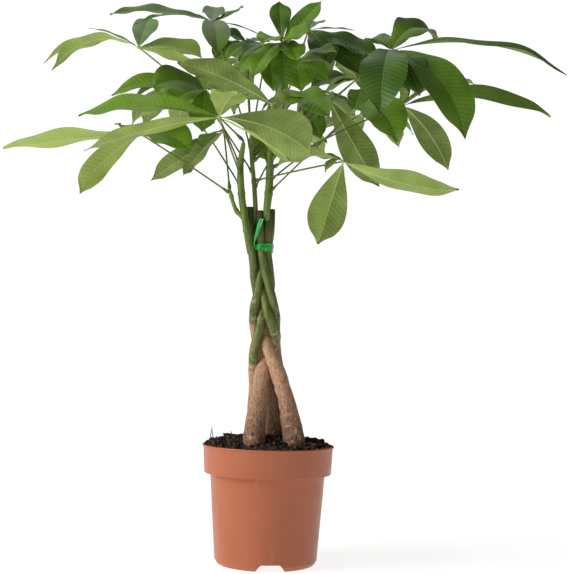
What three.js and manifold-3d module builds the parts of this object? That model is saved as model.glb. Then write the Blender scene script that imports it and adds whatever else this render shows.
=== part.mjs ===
// Potted money tree: five stems braided together in a terracotta-coloured nursery pot.
// The stems were cut off level above the tie, and green shoots carry the compound leaves.
// Millimetres, +Z up. The origin is the middle of the pot's underside, and -Y is the front.
import * as THREE from 'three';
import { mergeVertices } from 'three/addons/utils/BufferGeometryUtils.js';
import Module from 'manifold-3d';

const wasm = await Module();
wasm.setup();

// ---------------------------------------------------------------- driving dimensions
const GAP = 0.3; // air between two pieces that touch
const SLIVER = 0.02; // edges and slivers finer than this are merged away

const POT = {
  height: 152,
  rimRadius: 85.6,
  lip: { step: 1.4, height: 2.2 }, // the small bead round the top edge
  rimDraft: 1.8, // how much narrower the rim band is at its lower edge
  rimBand: 36,
  shoulderRadius: 74.5, // the body just under the rim band
  footRadius: 65.8,
  wall: 1.8,
  floorHeight: 9, // underside of the raised floor
  padRadius: 22, // the middle of the floor dips down and stands on the table
  sides: 40,
};
const FOOT_NOTCH = { count: 3, topWidth: 25, footWidth: 39, height: 9, firstAngle: -83.7 };
const DRAIN_HOLE = { count: 6, radius: 5, ringRadius: 42, firstAngle: -55 };
const SOIL = { edgeHeight: 148, moundHeight: 16, moundStart: -45, moundFull: 5, lump: 1.2, rings: 5 };

// Braided stems from the root end upwards: [x, y, z, radius] at each knot.
const STEMS = {
  stem_front_left: [
    [-16, -13, 105, 9], [-18, -14, 130, 12.8], [-18.5, -14, 152, 15], [-17, -13, 184, 13],
    [-13.5, -9, 216, 11], [-9, -1, 249, 8.6], [-4, 6.6, 264, 6.6], [2, 6.8, 278, 5.6],
    [6, -1, 290, 5.7], [3, -8, 303, 5.6], [-3.2, -11.2, 319, 5.1], [-10, -4, 344, 4.7],
    [-14.2, 8.3, 363, 4.5], [-21.5, 10.5, 383, 4.4], [-24, 7, 406, 4.3], [-25, 7, 433, 4.2],
    [-27, 6, 461, 4.2],
  ],
  stem_front_right: [
    [34, -9, 105, 9], [36, -10, 130, 12.5], [34, -10, 155, 14.8], [28, -12, 184, 12.8],
    [22, -12, 211, 10.8], [9, -10, 249, 8.6], [0, -7, 269, 7], [-5, -4, 281, 6], [-7, 3, 294, 5.6],
    [-11, 9, 317, 5.2], [-17, 10, 336, 4.8], [-21.5, 5.5, 353, 4.6], [-24.5, -1, 373, 4.5],
    [-26.2, -5, 392, 4.5], [-29.5, -5, 412, 4.4], [-32, -3, 438, 4.4], [-32, -2, 462, 4.2],
  ],
  stem_back_left: [
    [-15, 18, 110, 7], [-17, 17, 140, 9.4], [-19, 16, 170, 9], [-21, 14, 196, 8],
    [-20.8, 13, 229, 6.6], [-22, 5, 252, 5.7], [-22, -4, 271, 5.1], [-19, -8, 288, 4.9],
    [-14, -6, 306, 4.8], [-12, -1, 324, 4.8], [-5, 7, 343, 4.5], [-2, 4, 359, 4.5],
    [-4, 1, 380, 4.5], [-7, -1, 401, 4.4], [-9, -2, 419, 4.4], [-8, -2, 456, 4.3],
  ],
  stem_middle: [
    [7, 18, 105, 8], [7, 18, 135, 12], [6, 18, 160, 12.8], [4.3, 17, 187, 11.2], [1, 15, 210, 9.4],
    [-5, 17, 235, 7.4], [-12, 17, 258, 6.1], [-16, 11, 275, 5.2], [-21, 5, 294, 5],
    [-23.4, 1, 311, 5], [-23.2, -3, 328, 4.9], [-20, -5.5, 344, 4.7], [-15.6, -3.3, 371, 4.5],
    [-12, 8, 393, 4.5], [-7, 11, 411, 4.4], [-4, 8, 433, 4.4], [-4, 8, 461, 4.4],
  ],
  stem_back_right: [
    [34, 21, 110, 7], [34, 21, 140, 10], [31, 20, 165, 9.8], [25, 16, 197, 8.4], [16, 14, 229, 7],
    [9.5, 15.5, 260, 5.4], [7, 17, 281, 5], [6, 6, 301, 4.8], [5.4, -4, 322, 4.6],
    [1, -10, 341, 4.6], [-7, -9, 367, 4.7], [-14, -8, 396, 4.3], [-17, -8, 418, 4.2],
    [-19, -7, 457, 4.2],
  ],
};
const STEM_SIDES = 8;
const STEPS_PER_KNOT = 2;

// Green shoots, in the same way. Each first knot lies inside the stem that it sprouts from.
const SHOOTS = {
  shoot_left: {
    from: 'stem_front_right',
    knots: [
      [-31, -6, 400, 3], [-33, -13, 421, 5.2], [-37, -14, 442, 4.9], [-42, -15, 469, 4.6],
      [-45, -16, 498, 4.5], [-45, -17, 522, 3.8], [-43, -18, 537, 3.2], [-42, -18, 548, 2.2],
    ],
  },
  shoot_middle: {
    from: 'stem_front_left',
    knots: [
      [-26, 6, 440, 3], [-25, -2, 452, 3.3], [-25, -5, 465, 3.2], [-28, -5, 498, 2.9],
      [-32, -6, 534, 2.8], [-33, -6, 560, 2],
    ],
  },
  shoot_right: {
    from: 'stem_back_left',
    knots: [
      [-9, -2, 442, 3], [-10, -9, 455, 4.6], [-8, -10, 479, 5.2], [-7, -9, 504, 5],
      [-7, -9, 532, 4], [-7, -9, 556, 2.6],
    ],
  },
  side_branch: {
    from: 'shoot_left',
    knots: [
      [-35, -13, 437, 2.2], [-42, -12, 448, 3.2], [-49, -11, 455, 2.8], [-54, -10, 466, 2.6],
      [-57, -10, 476, 2.6], [-60, -10, 486, 2.2],
    ],
  },
};

// The tie: a soft plastic twine wound round three of the stems, with one loose end.
const TIE = {
  radius: 1.2,
  turns: 3,
  pitch: 2.9,
  startHeight: 403.5,
  loop: [[-24, -7], [-18, -14.5], [-9, -12], [-2, -4.5], [-0.5, 7], [-4, 16.5], [-13, 16], [-20, 1]],
  looseEnd: [[-26, -14, 416], [-23, -16, 427], [-19, -17, 438], [-16, -18, 445]],
};

// Each compound leaf: the shoot and height it grows from, how far its stalk bows upwards, its
// hub, and its leaflets as [tip x, tip y, tip z, width, arch, lean], where arch is how far the
// midrib bulges and lean turns the upper face towards the front, in degrees. A seventh number
// turns it towards the right, and an eighth moves its widest place towards the tip.
const STALK = { radius: 1.5, sides: 5, steps: 5 };
const HUB_RADIUS = 2.8;
const FAN = { spread: 50, taper: 0.16, arch: 0.2 }; // leaves that the front ones hide
const BLADE = { halfThickness: 0.6, steps: 5, fold: 14, fullness: 0.9 };
const BELLY = 1.2; // above 1, a blade is widest beyond its middle
const LEAVES = {
  leaf_01: {
    shoot: 'shoot_left', height: 546, bow: 8, hub: [-190, 30, 680],
    leaflets: [
      [-315, 70, 655, 35, 34, -6],
      [-340, 130, 680, 22, 30, 2],
      [-275, 120, 730, 9, 6, 16],
      [-190, 140, 755, 36, 2, -12],
      [-110, 115, 690, 46, 11, -22],
      [-110, 50, 660, 34, 2, -6],
    ],
  },
  leaf_02: {
    shoot: 'shoot_middle', height: 535, bow: 6, hub: [-90, 20, 715],
    leaflets: [
      [-225, 0, 715, 42, 11, 30],
      [-200, 75, 725, 32, 14, 25],
      [-95, 115, 765, 32, 0, 0],
      [-55, 80, 755, 36, -4, -14],
      [-75, -85, 640, 37, 18, 0],
      [-25, 30, 700, 14, 5, 18],
    ],
  },
  leaf_03: {
    shoot: 'shoot_right', height: 545, bow: 4, hub: [5, -30, 675],
    leaflets: [
      [0, -10, 735, 29, 0, 75, 0, 1.6],
      [55, -15, 735, 32, 0, 60, -20],
      [-20, -70, 660, 36, 10, 30],
      [-30, -85, 615, 34, 10, 30],
      [40, -60, 680, 40, 4, 55],
      [10, -45, 610, 34, 8, 60],
      [25, -70, 640, 34, 8, 40],
    ],
  },
  leaf_04: {
    shoot: 'shoot_right', height: 538, bow: 6, hub: [40, 30, 710],
    leaflets: [
      [135, -10, 665, 38, 2, 45],
      [105, 80, 725, 14, 3, 18],
      [110, 10, 645, 44, 8, 50],
      [70, -5, 655, 40, 6, 60],
      [55, 100, 740, 30, 6, 20],
    ],
  },
  leaf_05: {
    shoot: 'shoot_right', height: 522, bow: 10, hub: [145, -60, 660],
    leaflets: [
      [210, 0, 690, 54, 29, 44],
      [190, 75, 730, 34, 4, 16],
      [115, -30, 680, 42, 8, 30],
      [230, -125, 535, 55, 33, 58],
      [175, -115, 590, 44, 12, 60],
      [125, -150, 555, 58, 34, 10],
      [365, -75, 630, 44, 30, 24],
    ],
  },
  leaf_06: {
    shoot: 'shoot_right', height: 512, bow: 10, hub: [165, -10, 600],
    leaflets: [
      [355, -30, 585, 44, 27, 38],
      [275, 70, 650, 32, 18, 14],
      [235, 45, 525, 38, 16, -50],
      [140, -45, 625, 64, 12, 50],
    ],
  },
  leaf_07: {
    shoot: 'shoot_middle', height: 496, bow: 2, hub: [85, -95, 510],
    leaflets: [
      [55, -115, 405, 47, 0, -80, 0, 1.3],
      [225, -115, 475, 44, -11, -26],
      [0, -65, 505, 40, 15, -10],
      [60, -165, 485, 12, 10, 10],
      [45, -10, 530, 18, 6, 14],
    ],
  },
  leaf_08: {
    shoot: 'shoot_middle', height: 520, bow: 8, hub: [70, 10, 610],
    leaflets: [
      [135, -25, 490, 44, -2, -64],
      [40, 25, 605, 36, 12, -10],
    ],
  },
  leaf_09: {
    shoot: 'shoot_right', height: 480, bow: 0, hub: [100, -45, 585],
    leaflets: [
      [150, -95, 535, 54, 28, 60],
      [110, -20, 620, 30, 0, 45],
      [75, 15, 615, 34, 6, -20],
      [130, 35, 610, 36, 6, 0],
    ],
  },
  leaf_10: {
    shoot: 'shoot_right', height: 530, bow: 4, hub: [-5, -65, 585],
    leaflets: [
      [-125, -85, 630, 44, 9, -30],
      [-90, -30, 610, 42, 8, -18],
      [30, -115, 585, 32, 4, -30],
      [65, -130, 555, 46, 22, 46],
    ],
  },
  leaf_11: {
    shoot: 'shoot_left', height: 500, bow: 0, hub: [-70, -100, 560],
    leaflets: [
      [-230, -125, 510, 32, 8, -22],
      [-250, -60, 565, 46, 19, 40],
      [-45, -165, 575, 46, 10, -6],
      [45, -110, 515, 62, 16, -62, 0, 1.7],
      [20, -150, 500, 20, 3, -12],
    ],
  },
  leaf_12: {
    shoot: 'side_branch', height: 478, bow: 2, hub: [-175, -30, 550],
    leaflets: [
      [-350, -40, 525, 44, 4, -16],
      [-245, -65, 465, 33, 12, -52],
      [-105, -85, 520, 44, 14, 58],
      [-215, 60, 580, 36, 0, 0],
    ],
  },
  leaf_13: {
    shoot: 'shoot_left', height: 512, bow: 6, hub: [-95, -15, 615],
    leaflets: [
      [-155, -80, 600, 48, 12, 66],
      [-215, -30, 600, 38, 16, 42],
      [-140, -50, 580, 34, 8, 58],
      [-95, -30, 555, 38, 5, 58],
      [-80, 30, 640, 34, 8, -10],
    ],
  },
  leaf_14: {
    shoot: 'shoot_middle', height: 545, bow: 4, hub: [-45, 70, 700],
    leaflets: [
      [-75, 50, 705, 30, 6, 50],
      [-85, 20, 660, 36, 10, 55],
      [-15, 130, 720, 34, 4, 10],
      [-60, 140, 695, 36, 4, -10],
    ],
  },
  leaf_15: {
    shoot: 'shoot_middle', height: 548, bow: 4, hub: [-15, 20, 685],
    leaflets: [
      [-70, -20, 650, 22, 14, 40],
      [-50, -45, 645, 18, 10, 45],
      [-55, 20, 640, 28, 8, 50],
      [-5, -10, 615, 30, 6, 50],
    ],
  },
  leaf_16: {
    shoot: 'side_branch', height: 482, bow: 0, hub: [-70, 15, 565],
    leaflets: [
      [-165, 5, 495, 36, 2, -34],
      [-120, -15, 500, 30, 5, -34],
      [-95, -20, 535, 34, 9, -6],
    ],
  },
  leaf_17: {
    shoot: 'shoot_middle', height: 540, bow: 4, hub: [25, 0, 655],
    leaflets: [
      [75, -45, 660, 30, 10, 42],
      [65, -30, 625, 28, 6, 60],
      [30, -20, 615, 40, 6, 55],
      [70, 50, 670, 26, 8, -20],
    ],
  },
  leaf_18: {
    shoot: 'shoot_middle', height: 525, bow: 4, hub: [35, 70, 610],
    leaflets: [
      [60, 50, 565, 30, 6, 60],
      [65, 60, 595, 30, 6, 12],
      [60, 130, 620, 40, 10, 0],
    ],
  },
  leaf_19: {
    shoot: 'shoot_right', height: 505, bow: 4, hub: [-25, 50, 570],
    leaflets: [
      [-10, 40, 530, 36, 6, 55],
      [10, 100, 565, 38, 10, 0],
    ],
  },
  leaf_20: {
    shoot: 'shoot_right', height: 530, bow: 4, hub: [110, 75, 655],
    leaflets: [
      [45, 45, 635, 42, 8, 40],
      [80, 105, 680, 38, 6, -40],
      [60, 30, 620, 42, 6, -24],
      [145, 135, 660, 36, 8, 0],
    ],
  },
  leaf_21: {
    shoot: 'shoot_middle', height: 505, bow: 6, hub: [-125, 125, 655],
    fan: { out: 135, reach: 120, width: 46, droop: 25, count: 5 },
  },
  leaf_22: {
    shoot: 'shoot_middle', height: 515, bow: 6, hub: [-50, 165, 698],
    fan: { out: 100, reach: 120, width: 48, droop: 25, count: 5 },
  },
  leaf_23: {
    shoot: 'shoot_right', height: 515, bow: 6, hub: [45, 170, 655],
    fan: { out: 85, reach: 115, width: 46, droop: 25, count: 5 },
  },
  leaf_24: {
    shoot: 'shoot_right', height: 495, bow: 6, hub: [115, 120, 612],
    fan: { out: 45, reach: 100, width: 44, droop: 18, count: 5 },
  },
  leaf_25: {
    shoot: 'shoot_left', height: 485, bow: 6, hub: [-130, 110, 620],
    fan: { out: 155, reach: 95, width: 42, droop: 14, count: 5 },
  },
  leaf_26: {
    shoot: 'shoot_middle', height: 484, bow: 6, hub: [15, 140, 592],
    fan: { out: 90, reach: 90, width: 42, droop: 18, count: 5 },
  },
  leaf_27: {
    shoot: 'shoot_middle', height: 530, bow: 6, hub: [80, 149, 713],
    fan: { out: 55, reach: 105, width: 42, droop: 25, count: 5 },
  },
};

// ---------------------------------------------------------------- finishes
const finish = (color, roughness) => new THREE.MeshStandardMaterial({ color, roughness, metalness: 0 });
const FINISH = {
  pot: finish('#b5694c', 0.55),
  soil: finish('#2c2019', 0.95),
  bark: finish('#8a6a4c', 0.8),
  shoot: finish('#6d8f3f', 0.55),
  leaf: finish('#4f8a33', 0.45),
  tie: finish('#1fb54a', 0.4),
};

// ---------------------------------------------------------------- solids and meshes
const vector = ([x, y, z]) => new THREE.Vector3(x, y, z);
const radians = THREE.MathUtils.degToRad;

/** Turns a closed geometry into a solid that can be joined and cut. */
function solidOf(geometry) {
  geometry.deleteAttribute('normal');
  geometry.deleteAttribute('uv');
  const closed = mergeVertices(geometry, 1e-4);
  return new wasm.Manifold(
    new wasm.Mesh({
      numProp: 3,
      vertProperties: closed.attributes.position.array,
      triVerts: new Uint32Array(closed.index.array),
    }),
  );
}

/** Turns a finished solid back into a named mesh. */
function meshOf(name, solid, material) {
  const { vertProperties, triVerts } = solid.simplify(SLIVER).getMesh();
  const geometry = new THREE.BufferGeometry();
  geometry.setAttribute('position', new THREE.BufferAttribute(vertProperties, 3));
  geometry.setIndex(new THREE.BufferAttribute(triVerts, 1));
  geometry.computeVertexNormals();
  const mesh = new THREE.Mesh(geometry, material);
  mesh.name = name;
  return mesh;
}

/** A closed shape turned about the upright axis from [radius, height] points. */
function turned(profile, sides) {
  const points = profile.map(([radius, height]) => new THREE.Vector2(radius, height));
  return new THREE.LatheGeometry(points, sides).rotateX(Math.PI / 2);
}

/** The smooth curve through the knots of a stem or a shoot. */
function stemCurve(knots) {
  return new THREE.CatmullRomCurve3(knots.map(vector), false, 'catmullrom', 0.5);
}

/** A tapered round tube through knots of [x, y, z, radius], grown all round by a margin. */
function taperedTube(knots, margin = 0) {
  const curve = stemCurve(knots);
  const spans = knots.length - 1;
  const tube = new THREE.CylinderGeometry(1, 1, 1, STEM_SIDES, spans * STEPS_PER_KNOT);
  const place = tube.attributes.position;
  for (let i = 0; i < place.count; i += 1) {
    const along = THREE.MathUtils.clamp(place.getY(i) + 0.5, 0, 1);
    const span = Math.min(Math.floor(along * spans), spans - 1);
    const radius = THREE.MathUtils.lerp(knots[span][3], knots[span + 1][3], along * spans - span) + margin;
    const tangent = curve.getTangent(along);
    const side = new THREE.Vector3(1, 0, 0).addScaledVector(tangent, -tangent.x).normalize();
    const across = side.clone().cross(tangent);
    const point = curve.getPoint(along).addScaledVector(side, place.getX(i) * radius);
    point.addScaledVector(across, place.getZ(i) * radius);
    if (along === 0) point.addScaledVector(tangent, -margin);
    if (along === 1) point.addScaledVector(tangent, margin);
    place.setXYZ(i, point.x, point.y, point.z);
  }
  return solidOf(tube);
}

/** A round cord of constant radius along a curve. */
function cordAlong(curve, radius, sides, steps) {
  const section = new THREE.Shape(
    Array.from({ length: sides }, (_, i) => {
      const angle = (2 * Math.PI * i) / sides;
      return new THREE.Vector2(radius * Math.cos(angle), radius * Math.sin(angle));
    }),
  );
  return solidOf(new THREE.ExtrudeGeometry(section, { steps, extrudePath: curve, bevelEnabled: false }));
}

// ---------------------------------------------------------------- pot and soil
const band = POT.height - POT.rimBand; // height of the ledge under the rim band
const bandTop = POT.rimRadius - POT.lip.step; // radius of the rim band just under its bead
const rimFoot = bandTop - POT.rimDraft;
const innerFloor = POT.floorHeight + POT.wall;

/** The pot's inner face from the middle of the floor to the rim, as [radius, height]. */
const innerFace = [
  [0, POT.wall],
  [POT.padRadius - POT.wall, POT.wall],
  [POT.padRadius + 1, innerFloor],
  [POT.footRadius - POT.wall - 1, innerFloor],
  [POT.footRadius - POT.wall, innerFloor + 2],
  [POT.shoulderRadius - POT.wall, band],
  [rimFoot - POT.wall, band + 4],
  [bandTop - POT.wall - 0.3, POT.height - 3],
];

function makePot() {
  const outerFace = [
    [bandTop - POT.wall + 0.2, POT.height - 0.8],
    [POT.rimRadius - 0.7, POT.height],
    [POT.rimRadius, POT.height - 1],
    [POT.rimRadius, POT.height - POT.lip.height],
    [bandTop, POT.height - POT.lip.height - 1],
    [rimFoot, band + 1.2],
    [rimFoot - 0.9, band],
    [POT.shoulderRadius + 0.6, band - 0.4],
    [POT.shoulderRadius, band - 2.2],
    [POT.footRadius, 7],
    [POT.footRadius - 0.6, 3.4],
    [POT.footRadius - 2.2, 0.9],
    [POT.footRadius - 4.4, 0],
    [POT.footRadius - 6.4, 0],
    [POT.footRadius - POT.wall - 1.2, POT.floorHeight],
    [POT.padRadius + 3, POT.floorHeight],
    [POT.padRadius, 0],
    [0, 0],
  ];
  const shell = turned([...innerFace, ...outerFace].reverse(), POT.sides);
  const cuts = [];
  for (let i = 0; i < FOOT_NOTCH.count; i += 1) {
    const half = [FOOT_NOTCH.footWidth / 2, FOOT_NOTCH.topWidth / 2];
    const outline = new THREE.Shape([
      new THREE.Vector2(-half[0], -1),
      new THREE.Vector2(half[0], -1),
      new THREE.Vector2(half[0] - 1, 1),
      new THREE.Vector2(half[1], FOOT_NOTCH.height - 2),
      new THREE.Vector2(half[1] - 2.5, FOOT_NOTCH.height - 0.1),
      new THREE.Vector2(2.5 - half[1], FOOT_NOTCH.height - 0.1),
      new THREE.Vector2(-half[1], FOOT_NOTCH.height - 2),
      new THREE.Vector2(1 - half[0], 1),
    ]);
    const notch = new THREE.ExtrudeGeometry(outline, { depth: 20, bevelEnabled: false });
    notch.rotateX(Math.PI / 2).translate(0, POT.footRadius + 6, 0);
    notch.rotateZ(radians(FOOT_NOTCH.firstAngle - 90 + (360 / FOOT_NOTCH.count) * i));
    cuts.push(solidOf(notch));
  }
  for (let i = 0; i < DRAIN_HOLE.count; i += 1) {
    const angle = radians(DRAIN_HOLE.firstAngle + (360 / DRAIN_HOLE.count) * i);
    const hole = new THREE.CylinderGeometry(DRAIN_HOLE.radius, DRAIN_HOLE.radius, 12, 12);
    hole.rotateX(Math.PI / 2);
    const [x, y] = [DRAIN_HOLE.ringRadius * Math.cos(angle), DRAIN_HOLE.ringRadius * Math.sin(angle)];
    hole.translate(x, y, innerFloor);
    cuts.push(solidOf(hole));
  }
  return cuts.reduce((pot, cut) => pot.subtract(cut), solidOf(shell));
}

/** Soil that fills the pot and rises in crumbs towards the trunks. */
function makeSoil(stemKnots) {
  const filled = innerFace.map(([radius, height]) => [Math.max(radius - GAP, 0), height + GAP]);
  const edgeRadius = filled[filled.length - 1][0] - 0.1;
  filled[filled.length - 1] = [edgeRadius, SOIL.edgeHeight];
  const mound = [];
  for (let i = 1; i <= SOIL.rings; i += 1) {
    const out = 1 - i / SOIL.rings;
    mound.push([edgeRadius * out, SOIL.edgeHeight + SOIL.moundHeight]);
  }
  const geometry = turned([...filled, ...mound], POT.sides);
  const place = geometry.attributes.position;
  for (let i = 0; i < place.count; i += 1) {
    const [x, y, z] = [place.getX(i), place.getY(i), place.getZ(i)];
    if (z > SOIL.edgeHeight + 0.1) {
      const out = Math.min(Math.hypot(x, y) / edgeRadius, 1);
      const back = THREE.MathUtils.smoothstep(y, SOIL.moundStart, SOIL.moundFull);
      const mounded = SOIL.edgeHeight + SOIL.moundHeight * back * Math.sqrt(1 - out * out);
      const coarse = Math.sin(0.31 * x + 1.7) * Math.cos(0.27 * y);
      const crumbs = coarse + 0.5 * Math.sin(0.71 * y - 0.43 * x);
      place.setZ(i, mounded + SOIL.lump * crumbs);
    }
  }
  return stemKnots.reduce((soil, knots) => soil.subtract(taperedTube(knots, GAP)), solidOf(geometry));
}

// ---------------------------------------------------------------- tie
function makeTie(stemKnots) {
  const route = [];
  const perTurn = TIE.loop.length;
  for (let i = 0; i <= TIE.turns * perTurn; i += 1) {
    const [x, y] = TIE.loop[i % perTurn];
    route.push([x, y, TIE.startHeight + (TIE.pitch * i) / perTurn]);
  }
  const curve = new THREE.CatmullRomCurve3([...route, ...TIE.looseEnd].map(vector));
  const cord = cordAlong(curve, TIE.radius, 5, 52);
  return stemKnots.reduce((tie, knots) => tie.subtract(taperedTube(knots, GAP)), cord);
}

// ---------------------------------------------------------------- leaves
/** The unit vector closest to a direction that stands square to another unit vector. */
function square(direction, axis) {
  return direction.clone().addScaledVector(axis, -direction.dot(axis)).normalize();
}

/** One leaflet blade: a folded, arched diamond section from the hub to its tip. */
function makeLeaflet(hub, [x, y, z, width, arch, lean, turn = 0, belly = BELLY]) {
  const tip = new THREE.Vector3(x, y, z);
  const chord = tip.clone().sub(hub);
  const ahead = chord.clone().normalize();
  const face = new THREE.Vector3(
    Math.sin(radians(turn)),
    -Math.sin(radians(lean)),
    Math.cos(radians(lean)),
  );
  const rise = square(new THREE.Vector3(0, 0, 1).addScaledVector(square(face, ahead), 0.4), ahead);
  const midrib = new THREE.CubicBezierCurve3(
    hub,
    hub.clone().addScaledVector(chord, 0.35).addScaledVector(rise, 1.1 * arch),
    hub.clone().addScaledVector(chord, 0.75).addScaledVector(rise, arch),
    tip,
  );
  const blade = new THREE.CylinderGeometry(1, 1, 1, 4, BLADE.steps);
  const place = blade.attributes.position;
  for (let i = 0; i < place.count; i += 1) {
    const along = THREE.MathUtils.clamp(place.getY(i) + 0.5, 0, 1);
    const swell = Math.sin(Math.PI * along ** belly);
    const half = Math.max(0.5 * width * Math.max(swell, 0) ** BLADE.fullness, 0.6);
    const tangent = midrib.getTangent(along);
    const normal = square(face, tangent);
    const across = tangent.clone().cross(normal);
    const lift = Math.abs(place.getX(i)) * half * Math.tan(radians(BLADE.fold));
    const point = midrib.getPoint(along).addScaledVector(across, place.getX(i) * half);
    point.addScaledVector(normal, place.getZ(i) * BLADE.halfThickness + lift);
    place.setXYZ(i, point.x, point.y, point.z);
  }
  return solidOf(blade);
}

/** The leaflets of a regular compound leaf, spread about the way it points in plan. */
function fanOfLeaflets(hub, { out, reach, width, droop, count }) {
  return Array.from({ length: count }, (_, i) => {
    const side = i - (count - 1) / 2;
    const angle = radians(out + FAN.spread * side);
    const share = 1 - FAN.taper * Math.abs(side);
    const level = reach * share * Math.cos(radians(droop));
    const drop = reach * share * Math.sin(radians(droop));
    const tip = [hub.x + level * Math.cos(angle), hub.y + level * Math.sin(angle), hub.z - drop];
    return [...tip, width * share, FAN.arch * reach * share, 0];
  });
}

/** A whole compound leaf: its stalk from the shoot, its hub and its fan of leaflets. */
function makeLeaf({ shoot, height, bow, hub: hubPlace, leaflets, fan }) {
  const { knots } = SHOOTS[shoot];
  const curve = stemCurve(knots);
  const hub = vector(hubPlace);
  const root = curve.getPoints(100).find((point) => point.z >= height);
  const middle = root.clone().lerp(hub, 0.5).add(new THREE.Vector3(0, 0, bow));
  const stalk = cordAlong(
    new THREE.QuadraticBezierCurve3(root, middle, hub),
    STALK.radius,
    STALK.sides,
    STALK.steps,
  );
  const knuckle = new THREE.IcosahedronGeometry(HUB_RADIUS).translate(hub.x, hub.y, hub.z);
  const blades = (leaflets ?? fanOfLeaflets(hub, fan)).map((leaflet) => makeLeaflet(hub, leaflet));
  const leaf = blades.reduce((whole, blade) => whole.add(blade), stalk.add(solidOf(knuckle)));
  return leaf.subtract(taperedTube(knots, GAP));
}

// ---------------------------------------------------------------- assembly
const plant = new THREE.Group();
const allStems = Object.values(STEMS);
plant.add(meshOf('pot', makePot(), FINISH.pot));
plant.add(meshOf('soil', makeSoil(allStems), FINISH.soil));
for (const [name, knots] of Object.entries(STEMS)) {
  plant.add(meshOf(name, taperedTube(knots), FINISH.bark));
}
for (const [name, { knots }] of Object.entries(SHOOTS)) {
  const carriers = name === 'side_branch' ? [SHOOTS.shoot_left.knots] : allStems;
  const shoot = carriers.reduce(
    (whole, carrier) => whole.subtract(taperedTube(carrier, GAP)),
    taperedTube(knots),
  );
  plant.add(meshOf(name, shoot, FINISH.shoot));
}
plant.add(meshOf('tie', makeTie(allStems), FINISH.tie));
for (const [name, leaf] of Object.entries(LEAVES)) {
  plant.add(meshOf(name, makeLeaf(leaf), FINISH.leaf));
}

export default plant;
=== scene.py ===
"""Potted money tree, in metres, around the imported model: +Z up, the front towards -Y.

Five woody stems are braided in a terracotta-coloured nursery pot of peat and cut off level.
Three green shoots grow from them near the cut tops and carry compound leaves on thin stalks.
Sizes in the classes are millimetres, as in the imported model, and meshes are made in metres.
"""

import logging
import math
import random
from dataclasses import dataclass
from enum import Enum
from functools import partial
from typing import Callable, Iterable

import bmesh
import bpy
from mathutils import Matrix, Vector, noise


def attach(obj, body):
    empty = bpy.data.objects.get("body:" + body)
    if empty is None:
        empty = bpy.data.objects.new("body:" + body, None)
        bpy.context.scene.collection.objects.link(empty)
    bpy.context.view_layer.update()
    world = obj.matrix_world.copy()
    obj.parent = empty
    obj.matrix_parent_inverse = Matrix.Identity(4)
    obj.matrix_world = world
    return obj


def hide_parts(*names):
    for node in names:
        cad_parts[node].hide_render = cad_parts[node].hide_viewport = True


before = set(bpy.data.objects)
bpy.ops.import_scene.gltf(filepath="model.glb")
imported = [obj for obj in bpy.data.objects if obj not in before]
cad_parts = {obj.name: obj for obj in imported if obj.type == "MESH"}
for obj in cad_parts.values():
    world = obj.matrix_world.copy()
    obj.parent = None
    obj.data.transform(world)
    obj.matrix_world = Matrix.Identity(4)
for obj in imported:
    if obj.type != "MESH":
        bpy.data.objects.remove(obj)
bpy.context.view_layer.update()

MM = 0.001
WELD = 1e-6  # vertices closer than this, in metres, are one
UP = Vector((0.0, 0.0, 1.0))
LOG = logging.getLogger("money_tree")

AddNode = Callable[..., bpy.types.NodeSocket]

# node settings: a colour mix takes its share at input 0 and its colours at 6 and 7, and its
# result is output 2
RGBA = {"data_type": "RGBA"}
SOFT = {"interpolation_type": "SMOOTHSTEP"}

WAX_IOR = 1.38
ORGANIC_IOR = 1.45
PLASTIC_IOR = 1.49


# ---------------------------------------------------------------- small tools
def linear(hex_colour: str) -> tuple[float, float, float, float]:
    """Turns an sRGB hex colour into linear RGBA.

    Args:
        hex_colour: six hex digits after a hash sign.

    Returns:
        Red, green, blue and an alpha of 1, each from 0 to 1.
    """
    channels = [int(hex_colour[i : i + 2], 16) / 255 for i in (1, 3, 5)]
    red, green, blue = (
        c / 12.92 if c <= 0.04045 else ((c + 0.055) / 1.055) ** 2.4 for c in channels
    )
    return red, green, blue, 1.0


def smooth(low: float, high: float, value: float) -> float:
    """Rises smoothly from 0 at low to 1 at high.

    Args:
        low: where the rise starts.
        high: where it ends; it may lie below low.
        value: where to read it.

    Returns:
        The share from 0 to 1.
    """
    share = min(max((value - low) / (high - low), 0.0), 1.0)
    return share * share * (3 - 2 * share)


def square_to(direction: Vector, axis: Vector) -> Vector:
    """The unit vector nearest to a direction that stands square to a unit axis.

    Args:
        direction: the wanted direction.
        axis: the unit vector to stand square to.

    Returns:
        The squared unit vector.
    """
    return (direction - axis * direction.dot(axis)).normalized()


def fill_inputs(
    tree: bpy.types.NodeTree, node: bpy.types.Node, inputs: dict[str | int, object]
) -> None:
    """Sets a node's inputs, or links them.

    Args:
        tree: the node's tree.
        node: the node.
        inputs: input names or numbers, each with a value, an sRGB hex colour or a socket.
    """
    for key, value in inputs.items():
        if isinstance(value, bpy.types.NodeSocket):
            tree.links.new(value, node.inputs[key])
        elif isinstance(value, str):
            node.inputs[key].default_value = linear(value)
        else:
            node.inputs[key].default_value = value


def add_node(
    tree: bpy.types.NodeTree,
    kind: str,
    inputs: dict[str | int, object],
    out: str | int = 0,
    **settings: object,
) -> bpy.types.NodeSocket:
    """Adds one node to a material, with its settings and links.

    Args:
        tree: the material's node tree.
        kind: the node's type, without the words that every shader node starts with.
        inputs: as in fill_inputs.
        out: which of its outputs to hand back.
        settings: the node's own settings by name.

    Returns:
        The output.
    """
    node = tree.nodes.new("ShaderNode" + kind)
    for name, value in settings.items():
        setattr(node, name, value)
    fill_inputs(tree, node, inputs)
    return node.outputs[out]


def per_metre(size: float) -> float:
    """The texture scale that sets features a size in mm apart."""
    return 1 / (size * MM)


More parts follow.
